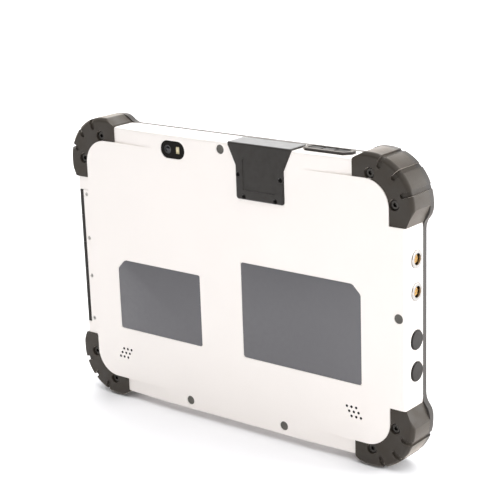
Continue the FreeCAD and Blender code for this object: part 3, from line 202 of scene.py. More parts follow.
class Finish:
    """A material in the making. Its patterns are in the piece's own metres."""

    def __init__(self, name, colour, roughness, constants=None):
        self.material = bpy.data.materials.new(name)
        self.material.use_nodes = True
        self.tree = self.material.node_tree
        self.tree.nodes.clear()
        self.place = add(self.tree, "ShaderNodeTexCoord").outputs["Object"]
        values = {"Base Color": (*colour, 1), "Roughness": roughness}
        values.update(constants or {})
        self.shader = add(self.tree, "ShaderNodeBsdfPrincipled", inputs=values)
        add(self.tree, "ShaderNodeOutputMaterial", inputs={"Surface": self.shader.outputs["BSDF"]})
        self.normal = None

    def speckle(self, spacing, detail=2.0, stretch=(1, 1, 1)):
        """A noise value from 0 to 1 whose blotches are about spacing metres across."""
        moved = add(self.tree, "ShaderNodeMapping", inputs={"Vector": self.place, "Scale": stretch})
        inputs = {"Vector": moved.outputs[0], "Scale": 1 / spacing, "Detail": detail}
        return add(self.tree, "ShaderNodeTexNoise", inputs=inputs).outputs["Fac"]

    def paint(self, value, first, second, start=0.0, end=1.0):
        """Carries the base colour from first to second as value goes from start to end."""
        inputs = {"Value": value, "From Min": start, "From Max": end}
        share = add(self.tree, "ShaderNodeMapRange", inputs=inputs).outputs["Result"]
        inputs = {0: share, 6: (*first, 1), 7: (*second, 1)}
        mixed = add(self.tree, "ShaderNodeMix", {"data_type": "RGBA"}, inputs).outputs[2]
        self.tree.links.new(mixed, self.shader.inputs["Base Color"])
        return mixed

    def polish(self, value, low, high):
        """Carries the roughness from low to high as value goes over its middle range."""
        inputs = {"Value": value, "From Min": MIDDLE[0], "From Max": MIDDLE[1], "To Min": low, "To Max": high}
        carried = add(self.tree, "ShaderNodeMapRange", inputs=inputs).outputs["Result"]
        self.tree.links.new(carried, self.shader.inputs["Roughness"])

    def relief(self, value, height):
        """Raises the surface by height metres where value is 1."""
        inputs = {"Height": value, "Distance": height}
        if self.normal:
            inputs["Normal"] = self.normal
        self.normal = add(self.tree, "ShaderNodeBump", inputs=inputs).outputs["Normal"]
        self.tree.links.new(self.normal, self.shader.inputs["Normal"])

    def rings(self, centre, axis):
        """Distance from a line through centre along axis, in metres."""
        squash = tuple(0.0 if abs(part) > 0.5 else 1.0 for part in axis)
        inputs = {0: self.place, 1: tuple(centre)}
        offset = add(self.tree, "ShaderNodeVectorMath", {"operation": "SUBTRACT"}, inputs).outputs[0]
        inputs = {0: offset, 1: squash}
        flat = add(self.tree, "ShaderNodeVectorMath", {"operation": "MULTIPLY"}, inputs).outputs[0]
        return add(self.tree, "ShaderNodeVectorMath", {"operation": "LENGTH"}, {0: flat}).outputs["Value"]


def shade(colour, factor):
    """A linear colour made darker or lighter."""
    return tuple(min(1.0, part * factor) for part in colour)


def sprayed_paint():
    """Two-pack polyurethane paint sprayed on moulded polycarbonate: white, satin, with faint orange peel, and
    near-black painted shade on the walls of the speaker holes.
    """
    colour = bpy.context.scene.collector_colours.shell
    made = Finish("sprayed_polyurethane_paint", colour, 0.42, {"Coat Weight": 0.12, "Coat Roughness": 0.3})
    peel = made.speckle(1.3 * MM, 1.0)
    drift = made.speckle(60 * MM, 2.0)
    white = made.paint(drift, shade(colour, 0.965), shade(colour, 1.01))
    # Painted shade: the white reaches only the rims of the speaker holes, and their walls are painted
    # near-black to stand for the shade inside them.
    axes = add(made.tree, "ShaderNodeSeparateXYZ", inputs={0: made.place})
    inputs = {0: axes.outputs["Y"], 1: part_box("rear_shell")[1].y - HOLE_SHADE_DEPTH}
    below_rim = add(made.tree, "ShaderNodeMath", {"operation": "LESS_THAN"}, inputs).outputs[0]
    for side in ("left", "right"):
        low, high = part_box(f"speaker_mesh_{side}")
        apart = made.rings((low + high) / 2, BACK)
        inputs = {0: apart, 1: high.x - low.x}
        near = add(made.tree, "ShaderNodeMath", {"operation": "LESS_THAN"}, inputs)
        hole_shade = add(made.tree, *TIMES, {0: below_rim, 1: near.outputs[0]})
        inputs = {0: hole_shade.outputs[0], 6: white, 7: (*linear("#060606"), 1)}
        white = add(made.tree, "ShaderNodeMix", {"data_type": "RGBA"}, inputs).outputs[2]
    made.tree.links.new(white, made.shader.inputs["Base Color"])
    made.polish(made.speckle(9 * MM), 0.38, 0.5)
    made.relief(peel, 0.012 * MM)
    return made.material


def moulded_rubber(name, colour, grain, relief, bloom=0.35, gloss=0.3):
    """Rubber moulded in a spark-eroded tool: dark, dry, finely pitted, with a pale bloom."""
    made = Finish(name, colour, 0.55, {"IOR": 1.5, "Specular IOR Level": gloss, "Sheen Weight": bloom,
                                       "Sheen Roughness": 0.35, "Sheen Tint": (*linear("#fff3e6"), 1)})
    # The real pits are about 0.15 mm apart; they are drawn coarser so that they still show.
    pits = made.speckle(grain, 3.0)
    drift = made.speckle(11 * MM, 3.0)
    made.paint(drift, shade(colour, 0.86), shade(colour, 1.16), *MIDDLE)
    made.polish(drift, 0.5, 0.72)
    made.relief(pits, relief)
    return made.material


def moulded_plastic(name, colour, grain=0.5 * MM, rough=(0.42, 0.58), sheen=0.0):
    """Plastic moulded in a textured tool: even, satin, with a fine leather-like grain."""
    made = Finish(name, colour, rough[0], {"IOR": 1.57, "Specular IOR Level": 0.3, "Sheen Weight": sheen,
                                           "Sheen Roughness": 0.4})
    drift = made.speckle(16 * MM, 2.0)
    made.paint(drift, shade(colour, 0.9), shade(colour, 1.1))
    made.polish(made.speckle(4 * MM), *rough)
    made.relief(made.speckle(grain, 2.0), 0.02 * MM)
    return made.material


def collared_peek(name, centre):
    """Machined PEEK: a natural tan boss, satin, that stands in a collar coloured near-black."""
    tan = linear("#a8834f")
    made = Finish(f"machined_peek_{name}", tan, 0.45, {"IOR": 1.65, "Specular IOR Level": 0.3})
    apart = made.rings(centre, SOCKET_SIDE)
    made.paint(apart, tan, linear("#0c0b0a"), BOSS_RADIUS - COLLAR_BLEND, BOSS_RADIUS + COLLAR_BLEND)
    made.polish(made.speckle(2 * MM), 0.38, 0.55)
    made.relief(made.speckle(0.4 * MM, 2.0), 0.01 * MM)
    return made.material


def printed_film():
    """Reverse-printed matt polyester film: flat mid grey with a fine even tooth."""
    colour = bpy.context.scene.collector_colours.label
    made = Finish("reverse_printed_polyester_film", colour, 0.5,
                  {"IOR": 1.6, "Coat Weight": 0.08, "Coat Roughness": 0.35})
    made.paint(made.speckle(24 * MM, 4.0), shade(colour, 0.955), shade(colour, 1.045))
    made.polish(made.speckle(3 * MM), 0.44, 0.56)
    made.relief(made.speckle(0.4 * MM, 2.0), 0.006 * MM)
    return made.material


def turned_metal(name, code, centre, axis, groove=0.12 * MM, rough=(0.16, 0.3)):
    """Metal turned on a lathe: bright or blackened, with fine rings round its axis."""
    made = Finish(name, linear(code), rough[0], {"Metallic": 1.0})
    radius = made.rings(centre, axis)
    phase = add(made.tree, *TIMES, {0: radius, 1: math.tau / groove}).outputs[0]
    wave = add(made.tree, "ShaderNodeMath", {"operation": "SINE"}, {0: phase})
    made.paint(made.speckle(2.5 * MM), shade(linear(code), 0.88), shade(linear(code), 1.08))
    made.polish(made.speckle(1.2 * MM), *rough)
    made.relief(wave.outputs[0], 0.002 * MM)
    return made.material


def plated_metal(name, code, rough=(0.2, 0.36)):
    """Metal with an electroplated or chemically blackened skin: slightly cloudy, with faint draw marks."""
    made = Finish(name, linear(code), rough[0], {"Metallic": 1.0})
    cloud = made.speckle(1.6 * MM, 3.0)
    made.paint(cloud, shade(linear(code), 0.82), shade(linear(code), 1.1))
    made.polish(cloud, *rough)
    made.relief(made.speckle(0.3 * MM, 1.0, (1, 6, 1)), 0.003 * MM)
    return made.material


def smoked_acrylic(name, code):
    """Smoked acrylic, moulded and polished: almost black, with a deep even gloss and faint swirl marks."""
    made = Finish(name, linear(code), 0.06, {"IOR": 1.49, "Specular IOR Level": 0.05})
    haze = made.speckle(7 * MM, 3.0)
    made.paint(haze, linear(code), shade(linear(code), 1.5))
    made.polish(haze, 0.04, 0.13)
    made.relief(made.speckle(12 * MM, 1.0), 0.01 * MM)
    return made.material


def display_glass():
    """Toughened glass with a black printed border round the dark display under it."""
    made = Finish("toughened_printed_glass", linear("#050506"), 0.05,
                  {"IOR": 1.52, "Specular IOR Level": 0.15})
    low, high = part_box("display_panel")
    half = (high - low) / 2 - Vector((1, 0, 1)) * BLACK_BORDER
    inputs = {0: made.place, 1: tuple((low + high) / 2)}
    offset = add(made.tree, "ShaderNodeVectorMath", {"operation": "SUBTRACT"}, inputs)
    apart = add(made.tree, "ShaderNodeVectorMath", {"operation": "ABSOLUTE"}, {0: offset.outputs[0]})
    axes = add(made.tree, "ShaderNodeSeparateXYZ", inputs={0: apart.outputs[0]})
    within = []
    for axis, reach in (("X", half.x), ("Z", half.z)):
        inputs = {0: axes.outputs[axis], 1: reach}
        within.append(add(made.tree, "ShaderNodeMath", {"operation": "LESS_THAN"}, inputs).outputs[0])
    lit = add(made.tree, *TIMES, {0: within[0], 1: within[1]})
    made.paint(lit.outputs[0], linear("#040405"), linear("#14171b"))
    made.polish(made.speckle(20 * MM, 3.0), 0.03, 0.09)
    made.relief(made.speckle(40 * MM, 1.0), 0.006 * MM)
    return made.material


def coated_lens():
    """Ground optical glass with an anti-reflection coating in a black stepped barrel."""
    low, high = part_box("camera_lens")
    made = Finish("coated_optical_glass", linear("#08080a"), 0.05, {
        "IOR": 1.7, "Specular IOR Level": 0.3, "Coat Weight": 0.3, "Coat Roughness": 0.02})
    radius = made.rings((low + high) / 2, BACK)
    made.paint(radius, linear("#17141f"), linear("#08080a"), 0.5 * MM, 1.5 * MM)
    made.polish(made.speckle(3 * MM), 0.03, 0.1)
    made.relief(made.speckle(6 * MM, 1.0), 0.002 * MM)
    return made.material


def phosphor():
    """Yellow phosphor under a moulded Fresnel lens: concentric steps over a warm, pale yellow."""
    low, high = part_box("flash_led")
    made = Finish("phosphor_under_fresnel_lens", linear("#c9b478"), 0.2,
                  {"IOR": 1.5, "Coat Weight": 0.7, "Coat Roughness": 0.08})
    radius = made.rings((low + high) / 2, BACK)
    count = add(made.tree, "ShaderNodeMath", {"operation": "DIVIDE"}, {0: radius, 1: FRESNEL_STEP}).outputs[0]
    step = add(made.tree, "ShaderNodeMath", {"operation": "FRACT"}, {0: count})
    made.paint(radius, linear("#e6d9ae"), linear("#a89c78"), 0.2 * MM, 2.4 * MM)
    made.polish(made.speckle(1 * MM), 0.15, 0.3)
    made.relief(step.outputs[0], 0.08 * MM)
    return made.material


def woven_mesh():
    """Black-dyed monofilament woven as an acoustic mesh: crossed threads whose tiny tops carry a painted
    highlight.
    """
    made = Finish("woven_monofilament_mesh", linear("#141414"), 0.6, {"Specular IOR Level": 0.2})
    # Real threads are 0.1 mm apart; they are drawn at 0.35 mm so that the weave shows.
    pitch = 0.35 * MM
    axes = add(made.tree, "ShaderNodeSeparateXYZ", inputs={0: made.place})
    waves = []
    for axis in ("X", "Z"):
        phase = add(made.tree, *TIMES, {0: axes.outputs[axis], 1: math.pi / pitch}).outputs[0]
        waves.append(add(made.tree, "ShaderNodeMath", {"operation": "SINE"}, {0: phase}).outputs[0])
    crossed = add(made.tree, *TIMES, {0: waves[0], 1: waves[1]})
    # Painted highlight: the raised tops of the crossed threads are painted lighter.
    made.paint(crossed.outputs[0], linear("#020202"), linear("#151515"), -0.6, 0.9)
    made.polish(made.speckle(1 * MM), 0.45, 0.65)
    made.relief(crossed.outputs[0], 0.06 * MM)
    return made.material


def circuit_laminate():
    """Glass-epoxy laminate under green solder mask: copper tracks stand up faintly below the lacquer."""
    made = Finish("solder_masked_glass_epoxy", linear("#12452c"), 0.3,
                  {"IOR": 1.55, "Coat Weight": 0.4, "Coat Roughness": 0.12})
    inputs = {"Vector": made.place, "Scale": 1 / (3 * MM)}
    cells = add(made.tree, "ShaderNodeTexVoronoi", {"feature": "DISTANCE_TO_EDGE"}, inputs)
    tracks = cells.outputs["Distance"]
    made.paint(tracks, linear("#1d6a43"), linear("#0f3f28"), 0.02, 0.09)
    made.polish(made.speckle(2 * MM), 0.24, 0.4)
    made.relief(tracks, -0.3 * MM)
    return made.material


def wrapped_foil():
    """Heat-shrunk PVC wrap round battery cells: matt blue-black with slight wrinkles."""
    made = Finish("heat_shrunk_pvc_wrap", linear("#20242b"), 0.4, {"IOR": 1.53})
    folds = made.speckle(6 * MM, 4.0, (1, 1, 0.25))
    made.paint(folds, linear("#1b1e24"), linear("#2b3038"))
    made.polish(folds, 0.3, 0.5)
    made.relief(folds, 0.12 * MM)
    return made.material


def fired_ceramic():
    """Fired and lapped microwave ceramic: chalky off-white with fine pores."""
    made = Finish("fired_microwave_ceramic", linear("#cfc8ba"), 0.7, {"IOR": 1.9})
    pores = made.speckle(0.5 * MM, 3.0)
    made.paint(made.speckle(5 * MM), linear("#c4bdae"), linear("#d8d2c6"))
    made.polish(pores, 0.6, 0.8)
    made.relief(pores, 0.02 * MM)
    return made.material


# ---------------------------------------------------------------- shapes

def merged(node):
    """A CAD node's triangles, joined at their corners and dissolved into flat faces."""
    shape = bmesh.new()
    shape.from_mesh(frame["nodes"][node].data)
    bmesh.ops.remove_doubles(shape, verts=shape.verts, dist=MERGE)
    bmesh.ops.dissolve_limit(shape, angle_limit=FLAT, verts=shape.verts, edges=shape.edges)
    return shape


def creases(shape):
    """The convex and concave edges sharp enough to be rounded."""
    return [e for e in shape.edges if e.is_manifold and e.calc_face_angle(0.0) > CREASE]


def bevelled(shape, edges, radius, segments, clamp=False):
    """Rounds the edges of a shape; clamp keeps each rounding off its neighbours."""
    bmesh.ops.bevel(shape, geom=edges, offset=radius, segments=segments, profile=0.5, affect="EDGES",
                    clamp_overlap=clamp)


def settled(shape, name):
    """Turns a shape into a mesh and frees it."""
    mesh = bpy.data.meshes.new(name)
    shape.to_mesh(mesh)
    shape.free()
    return mesh


def show(name, mesh, material, body, nodes):
    """Puts a finished mesh in the scene, on its body and in the place of its CAD nodes."""
    if "custom_normal" in mesh.attributes:
        mesh.attributes.remove(mesh.attributes["custom_normal"])
    mesh.materials.clear()
    mesh.materials.append(material)
    mesh.shade_smooth()
    mesh.set_sharp_from_angle(angle=SHARP)
    piece = bpy.data.objects.new(name, mesh)
    bpy.context.scene.collection.objects.link(piece)
    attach(piece, body)
    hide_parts(*nodes)
    return piece


def rounded(node, radius, material, segments=2, broad=0.0):
    """A CAD node's finished double: the same shape with every crease rounded, the gentle ones broadly."""
    shape = merged(node)
    if broad:
        gentle = [e for e in creases(shape) if e.calc_face_angle(0.0) < GENTLE and e.is_convex]
        bevelled(shape, gentle, broad, 4)
    bevelled(shape, creases(shape), radius, segments, clamp=True)
    bmesh.ops.remove_doubles(shape, verts=shape.verts, dist=MERGE)
    body = frame["nodes"][node]["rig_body"]
    piece = show(f"{node}_finished", settled(shape, node), material, body, [node])
    weighted = piece.modifiers.new("even_shading", "WEIGHTED_NORMAL")
    weighted.keep_sharp = True


def paint_node(node, material):
    """Gives a CAD node that stays its finish."""
    mesh = frame["nodes"][node].data
    mesh.materials.clear()
    mesh.materials.append(material)


def loose_boxes(node):
    """The lowest and highest corners of each separate solid in a CAD node."""
    shape = merged(node)
    left, boxes = set(shape.verts), []
    while left:
        stack = [left.pop()]
        group = list(stack)
        while stack:
            for edge in stack.pop().link_edges:
                for vert in edge.verts:
                    if vert in left:
                        left.remove(vert)
                        group.append(vert)
                        stack.append(vert)
        low = Vector([min(v.co[i] for v in group) for i in range(3)])
        high = Vector([max(v.co[i] for v in group) for i in range(3)])
        boxes.append((low, high))
    shape.free()
    return sorted(boxes, key=lambda box: tuple(round(c, PLACES) for c in box[0]))


def face_centre(box, facing):
    """The middle of the side of a box that looks along facing."""
    low, high = box
    middle, half = (low + high) / 2, (high - low) / 2
    return middle + Vector([half[i] * facing[i] for i in range(3)])


def turned(profile, centre, facing):
    """A closed solid turned round facing through centre. profile is (radius, height) from axis to axis."""
    shape = bmesh.new()
    turn = facing.to_track_quat("Z", "Y")
    rings = []
    for radius, height in profile:
        if radius < MERGE:
            rings.append([shape.verts.new(centre + turn @ Vector((0, 0, height)))])
            continue
        angles = [math.tau * i / CIRCLE for i in range(CIRCLE)]
        spots = [Vector((radius * math.cos(a), radius * math.sin(a), height)) for a in angles]
        rings.append([shape.verts.new(centre + turn @ spot) for spot in spots])
    for low, high in zip(rings, rings[1:]):
        for i in range(CIRCLE):
            a, b = low[i % len(low)], low[(i + 1) % len(low)]
            c, d = high[(i + 1) % len(high)], high[i % len(high)]
            corners = list(dict.fromkeys((a, b, c, d)))
            if len(corners) > 2:
                shape.faces.new(corners)
    bmesh.ops.recalc_face_normals(shape, faces=shape.faces)
    return shape


# ---------------------------------------------------------------- repeated parts, as geometry trees

def new_tree(name, sizes):
    """A geometry tree with named inputs; returns it with its input sockets."""
    tree = bpy.data.node_groups.new(name, "GeometryNodeTree")
    tree.interface.new_socket("Geometry", in_out="INPUT", socket_type="NodeSocketGeometry")
    for label, kind in sizes.items():
        tree.interface.new_socket(label, in_out="INPUT", socket_type=kind)
    tree.interface.new_socket("Geometry", in_out="OUTPUT", socket_type="NodeSocketGeometry")
    return tree, add(tree, "NodeGroupInput").outputs


def tapered(tree, low_radius, high_radius, low, tall, sides):
    """A closed cone or cylinder that stands on height low."""
    cone = add(tree, "GeometryNodeMeshCone", inputs={
        "Vertices": sides, "Radius Top": high_radius, "Radius Bottom": low_radius, "Depth": tall})
    lift = add(tree, "ShaderNodeCombineXYZ", inputs={"Z": low})
    return add(tree, "GeometryNodeTransform", inputs={
        "Geometry": cone.outputs["Mesh"], "Translation": lift.outputs[0]}).outputs[0]


def scattered(tree, sockets, solid):
    """Stands a solid on every point, facing the same way with a fixed random turn, and ends the tree."""
    aim = add(tree, "FunctionNodeAlignRotationToVector", {"axis": "Z"}, {"Vector": sockets["Facing"]})
    placed = add(tree, "GeometryNodeInstanceOnPoints", inputs={
        "Points": sockets["Geometry"], "Instance": solid, "Rotation": aim.outputs[0]})
    chance = add(tree, "FunctionNodeRandomValue", {"data_type": "FLOAT"}, {2: 0.0, 3: math.tau, "Seed": SEED})
    turn = add(tree, "ShaderNodeCombineXYZ", inputs={"Z": chance.outputs[1]})
    spun = add(tree, "GeometryNodeRotateInstances", inputs={
        "Instances": placed.outputs[0], "Rotation": turn.outputs[0]})
    real = add(tree, "GeometryNodeRealizeInstances", inputs={"Geometry": spun.outputs[0]})
    finished = add(tree, "GeometryNodeSetMaterial", inputs={
        "Geometry": real.outputs[0], "Material": sockets["Finish"]})
    add(tree, "NodeGroupOutput", inputs={"Geometry": finished.outputs[0]})


def socket_screw_tree():
    """A cap screw: chamfered head, plain shank and a hexagon socket."""
    length = "NodeSocketFloat"
    tree, sockets = new_tree("socket_screws", {
        "Head Diameter": length, "Head Height": length, "Chamfer": length, "Key Size": length,
        "Key Depth": length, "Shank Diameter": length, "Shank Length": length,
        "Facing": "NodeSocketVector", "Finish": "NodeSocketMaterial"})
    radius = add(tree, *TIMES, {0: sockets["Head Diameter"], 1: 0.5}).outputs[0]
    crown = add(tree, *MINUS, {0: radius, 1: sockets["Chamfer"]}).outputs[0]
    under = add(tree, *TIMES, {0: sockets["Head Height"], 1: -1.0}).outputs[0]
    body_tall = add(tree, *MINUS, {0: sockets["Head Height"], 1: sockets["Chamfer"]}).outputs[0]
    shoulder = add(tree, *TIMES, {0: sockets["Chamfer"], 1: -1.0}).outputs[0]
    foot = add(tree, *MINUS, {0: under, 1: sockets["Shank Length"]}).outputs[0]
    shank = add(tree, *TIMES, {0: sockets["Shank Diameter"], 1: 0.5}).outputs[0]
    parts = [tapered(tree, radius, radius, under, body_tall, HEAD_SIDES),
             tapered(tree, radius, crown, shoulder, sockets["Chamfer"], HEAD_SIDES),
             tapered(tree, shank, shank, foot, sockets["Shank Length"], SHANK_SIDES)]
    # Across corners a hexagon is 2 / sqrt(3) times its width across flats.
    corner = add(tree, *TIMES, {0: sockets["Key Size"], 1: 1 / math.sqrt(3)}).outputs[0]
    floor = add(tree, *TIMES, {0: sockets["Key Depth"], 1: -1.0}).outputs[0]
    tool_tall = add(tree, *TIMES, {0: sockets["Key Depth"], 1: 2.0}).outputs[0]
    key = tapered(tree, corner, corner, floor, tool_tall, 6)
    solid = add(tree, "GeometryNodeJoinGeometry")
    for part in parts:
        tree.links.new(part, solid.inputs[0])
    cut = add(tree, "GeometryNodeMeshBoolean", {"operation": "DIFFERENCE", "solver": "EXACT"},
              {"Mesh 1": solid.outputs[0], "Mesh 2": key, "Self Intersection": True})
    scattered(tree, sockets, cut.outputs["Mesh"])
    return tree


def contact_tree():
    """A round contact with a domed tip."""
    length = "NodeSocketFloat"
    tree, sockets = new_tree("contacts", {
        "Diameter": length, "Length": length, "Facing": "NodeSocketVector", "Finish": "NodeSocketMaterial"})
    radius = add(tree, *TIMES, {0: sockets["Diameter"], 1: 0.5}).outputs[0]
    tall = add(tree, *MINUS, {0: sockets["Length"], 1: radius}).outputs[0]
    foot = add(tree, *TIMES, {0: sockets["Length"], 1: -1.0}).outputs[0]
    stem = tapered(tree, radius, radius, foot, tall, CONTACT_SIDES)
    ball = add(tree, "GeometryNodeMeshUVSphere", inputs={
        "Segments": CONTACT_SIDES, "Rings": CONTACT_RINGS, "Radius": radius})
    drop = add(tree, "ShaderNodeCombineXYZ", inputs={"Z": add(tree, *TIMES, {0: radius, 1: -1.0}).outputs[0]})
    tip = add(tree, "GeometryNodeTransform", inputs={
        "Geometry": ball.outputs["Mesh"], "Translation": drop.outputs[0]})
    solid = add(tree, "GeometryNodeJoinGeometry")
    tree.links.new(stem, solid.inputs[0])
    tree.links.new(tip.outputs[0], solid.inputs[0])
    whole = add(tree, "GeometryNodeMeshBoolean", {"operation": "UNION", "solver": "EXACT"},
                {"Mesh 2": solid.outputs[0], "Self Intersection": True})
    scattered(tree, sockets, whole.outputs["Mesh"])
    return tree


def grown(name, points, tree, values):
    """Runs a tree on a cloud of points and returns its result as a plain mesh."""
    cloud = bpy.data.meshes.new(name)
    cloud.from_pydata(points, [], [])
    seed = bpy.data.objects.new(name, cloud)
    modifier = seed.modifiers.new(tree.name, "NODES")
    modifier.node_group = tree
    for item in tree.interface.items_tree:
        if item.in_out == "INPUT" and item.name in values:
            modifier[item.identifier] = values[item.name]
    bpy.context.scene.collection.objects.link(seed)
    bpy.context.view_layer.update()
    plain = bpy.data.meshes.new_from_object(seed.evaluated_get(bpy.context.evaluated_depsgraph_get()))
    seed.modifiers.remove(modifier)
    bpy.data.objects.remove(seed)
    return plain


def grow_screws(node, finish, key):
    """Stands a socket screw wherever the CAD has one, with the head and shank sizes that it has there."""
    boxes = loose_boxes(node)
    low, high = boxes[0]
    across, tall = high.x - low.x, HEAD_HEIGHTS[node]
    values = {"Head Diameter": across, "Head Height": tall,
              "Chamfer": bpy.context.scene.collector_sizes.machined_round * HEAD_CHAMFER,
              "Key Size": key, "Key Depth": key * KEY_DEPTH_SHARE,
              "Shank Diameter": across * SHANK_SHARE, "Shank Length": high.y - low.y - tall,
              "Facing": BACK, "Finish": finish}
    points = [face_centre(box, BACK) for box in boxes]
    mesh = grown(node, points, bpy.data.node_groups["socket_screws"], values)
    show(f"{node}_finished", mesh, finish, frame["nodes"][node]["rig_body"], [node])


# ---------------------------------------------------------------- operators

class COLLECTOR_OT_housing(bpy.types.Operator):
    """Paint the rear housing"""

    bl_idname = "collector.housing"
    bl_label = "Rear Housing"
    bl_options = {"REGISTER", "UNDO"}

    def execute(self, context):
        paint_node("rear_shell", sprayed_paint())
        return {"FINISHED"}


class COLLECTOR_OT_bumpers(bpy.types.Operator):
    """Make the four rubber corner bumpers"""

    bl_idname = "collector.bumpers"
    bl_label = "Corner Bumpers"
    bl_options = {"REGISTER", "UNDO"}

    def execute(self, context):
        sizes = context.scene.collector_sizes
        colour = context.scene.collector_colours.rubber
        rubber = moulded_rubber("spark_textured_tpu_rubber", colour, 0.8 * MM, 0.05 * MM, 0.85, 0.45)
        for corner in ("upper_left", "upper_right", "lower_left", "lower_right"):
            rounded(f"bumper_{corner}", sizes.rubber_round, rubber, 3, sizes.rubber_blend)
        return {"FINISHED"}


class COLLECTOR_OT_screws(bpy.types.Operator):
    """Make the screws"""

    bl_idname = "collector.screws"
    bl_label = "Screws"
    bl_options = {"REGISTER", "UNDO"}

    def execute(self, context):
        sizes = context.scene.collector_sizes
        socket_screw_tree()
        black = plated_metal("black_oxide_steel", "#454340", (0.22, 0.38))
        bright = plated_metal("zinc_plated_steel", "#b9b7b2")
        small = plated_metal("black_zinc_steel", "#1f1e1d", (0.3, 0.45))
        grow_screws("bumper_screws", black, sizes.bumper_key)
        grow_screws("casing_screws", bright, sizes.bumper_key)
        grow_screws("scanner_cover_screws", small, sizes.small_key)
        grow_screws("strip_screws", bright, sizes.small_key)
        grow_screws("board_screws", bright, sizes.small_key)
        return {"FINISHED"}


class COLLECTOR_OT_labels(bpy.types.Operator):
    """Make the two grey label films"""

    bl_idname = "collector.labels"
    bl_label = "Label Films"
    bl_options = {"REGISTER", "UNDO"}

    def execute(self, context):
        sizes = context.scene.collector_sizes
        film = printed_film()
        for name in ("label_plate_large", "label_plate_small"):
            shape = merged(name)
            corners = [e for e in creases(shape)
                       if abs((e.verts[1].co - e.verts[0].co).normalized().dot(BACK)) > UPRIGHT]
            bevelled(shape, corners, sizes.film_round, 5)
            bevelled(shape, creases(shape), sizes.machined_round, 2)
            show(f"{name}_finished", settled(shape, name), film, "housing", [name])
        return {"FINISHED"}


class COLLECTOR_OT_plugs(bpy.types.Operator):
    """Make the rubber plugs over the housing screws"""

    bl_idname = "collector.plugs"
    bl_label = "Screw Plugs"
    bl_options = {"REGISTER", "UNDO"}

    def execute(self, context):
        colour = context.scene.collector_colours.plug
        rubber = moulded_rubber("moulded_silicone_plug", colour, 0.6 * MM, 0.03 * MM)
        whole = bmesh.new()
        for box in loose_boxes("screw_plugs"):
            low, high = box
            radius, tall = (high.x - low.x) / 2, high.y - low.y
            profile = [(radius * share, -deep * MM) for share, deep in PLUG_DISH]
            bend = PLUG_LIP * PLUG_CORNER
            profile += [(radius - PLUG_LIP, 0), (radius - bend, -bend), (radius, -PLUG_LIP),
                        (radius, PLUG_LIP - tall), (radius - PLUG_LIP, -tall), (0, -tall)]
            plug = settled(turned(profile, face_centre(box, BACK), BACK), "plug")
            whole.from_mesh(plug)
            bpy.data.meshes.remove(plug)
        mesh = settled(whole, "screw_plugs")
        show("screw_plugs_finished", mesh, rubber, "housing", ["screw_plugs"])
        return {"FINISHED"}


class COLLECTOR_OT_scanner(bpy.types.Operator):
    """Make the scanner cover and its window"""

    bl_idname = "collector.scanner"
    bl_label = "Scanner Cover"
    bl_options = {"REGISTER", "UNDO"}

    def execute(self, context):
        sizes = context.scene.collector_sizes
        colour = tuple(context.scene.collector_colours.cover)
        plastic = moulded_plastic("textured_pc_abs", colour, 0.6 * MM, (0.5, 0.66), 0.8)
        rounded("scanner_cover", sizes.moulded_round, plastic)
        acrylic = smoked_acrylic("smoked_acrylic", "#1a0d0d")
        rounded("scan_window", sizes.machined_round, acrylic)
        engine = moulded_plastic("glass_filled_nylon", linear("#222222"))
        for node in ("scan_engine", "camera_module"):
            paint_node(node, engine)
        return {"FINISHED"}


class COLLECTOR_OT_camera(bpy.types.Operator):
    """Make the rear camera's window, lens and flash, and the front camera"""

    bl_idname = "collector.camera"
    bl_label = "Cameras"
    bl_options = {"REGISTER", "UNDO"}

    def execute(self, context):
        plate = smoked_acrylic("back_printed_acrylic", "#171513")
        rounded("camera_window", WINDOW_ROUND, plate)
        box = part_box("camera_lens")
        radius, tall = (box[1].x - box[0].x) / 2, box[1].y - box[0].y
        profile = [(radius * share, -deep * MM) for share, deep in LENS_STEPS]
        profile += [(radius, -tall), (0, -tall)]
        mesh = settled(turned(profile, face_centre(box, BACK), BACK), "camera_lens")
        show("camera_lens_finished", mesh, coated_lens(), "housing", ["camera_lens"])
        rounded("flash_led", GLASS_ROUND, phosphor())
        rounded("front_camera", GLASS_ROUND, smoked_acrylic("moulded_camera_barrel", "#101012"))
        return {"FINISHED"}


class COLLECTOR_OT_speakers(bpy.types.Operator):
    """Finish the speakers and the woven mesh behind their holes"""

    bl_idname = "collector.speakers"
    bl_label = "Speakers"
    bl_options = {"REGISTER", "UNDO"}

    def execute(self, context):
        mesh = woven_mesh()
        frame_plastic = moulded_plastic("speaker_frame_abs", linear("#1d1d1e"))
        for side in ("left", "right"):
            paint_node(f"speaker_mesh_{side}", mesh)
            paint_node(f"speaker_{side}", frame_plastic)
        return {"FINISHED"}


class COLLECTOR_OT_keys(bpy.types.Operator):
    """Make the key bar on the top edge and its three keys"""

    bl_idname = "collector.keys"
    bl_label = "Keys"
    bl_options = {"REGISTER", "UNDO"}

    def execute(self, context):
        sizes = context.scene.collector_sizes
        colour = context.scene.collector_colours.band
        rubber = moulded_rubber("compression_moulded_silicone", colour, 0.6 * MM, 0.03 * MM, 0.5, 0.25)
        caps = moulded_rubber("silicone_key_caps", shade(colour, 0.6), 0.6 * MM, 0.02 * MM, 0.1, 0.15)
        rounded("key_bezel", sizes.moulded_round, rubber)
        for key in ("volume_down_key", "volume_up_key", "power_key"):
            rounded(key, sizes.moulded_round, caps)
        return {"FINISHED"}


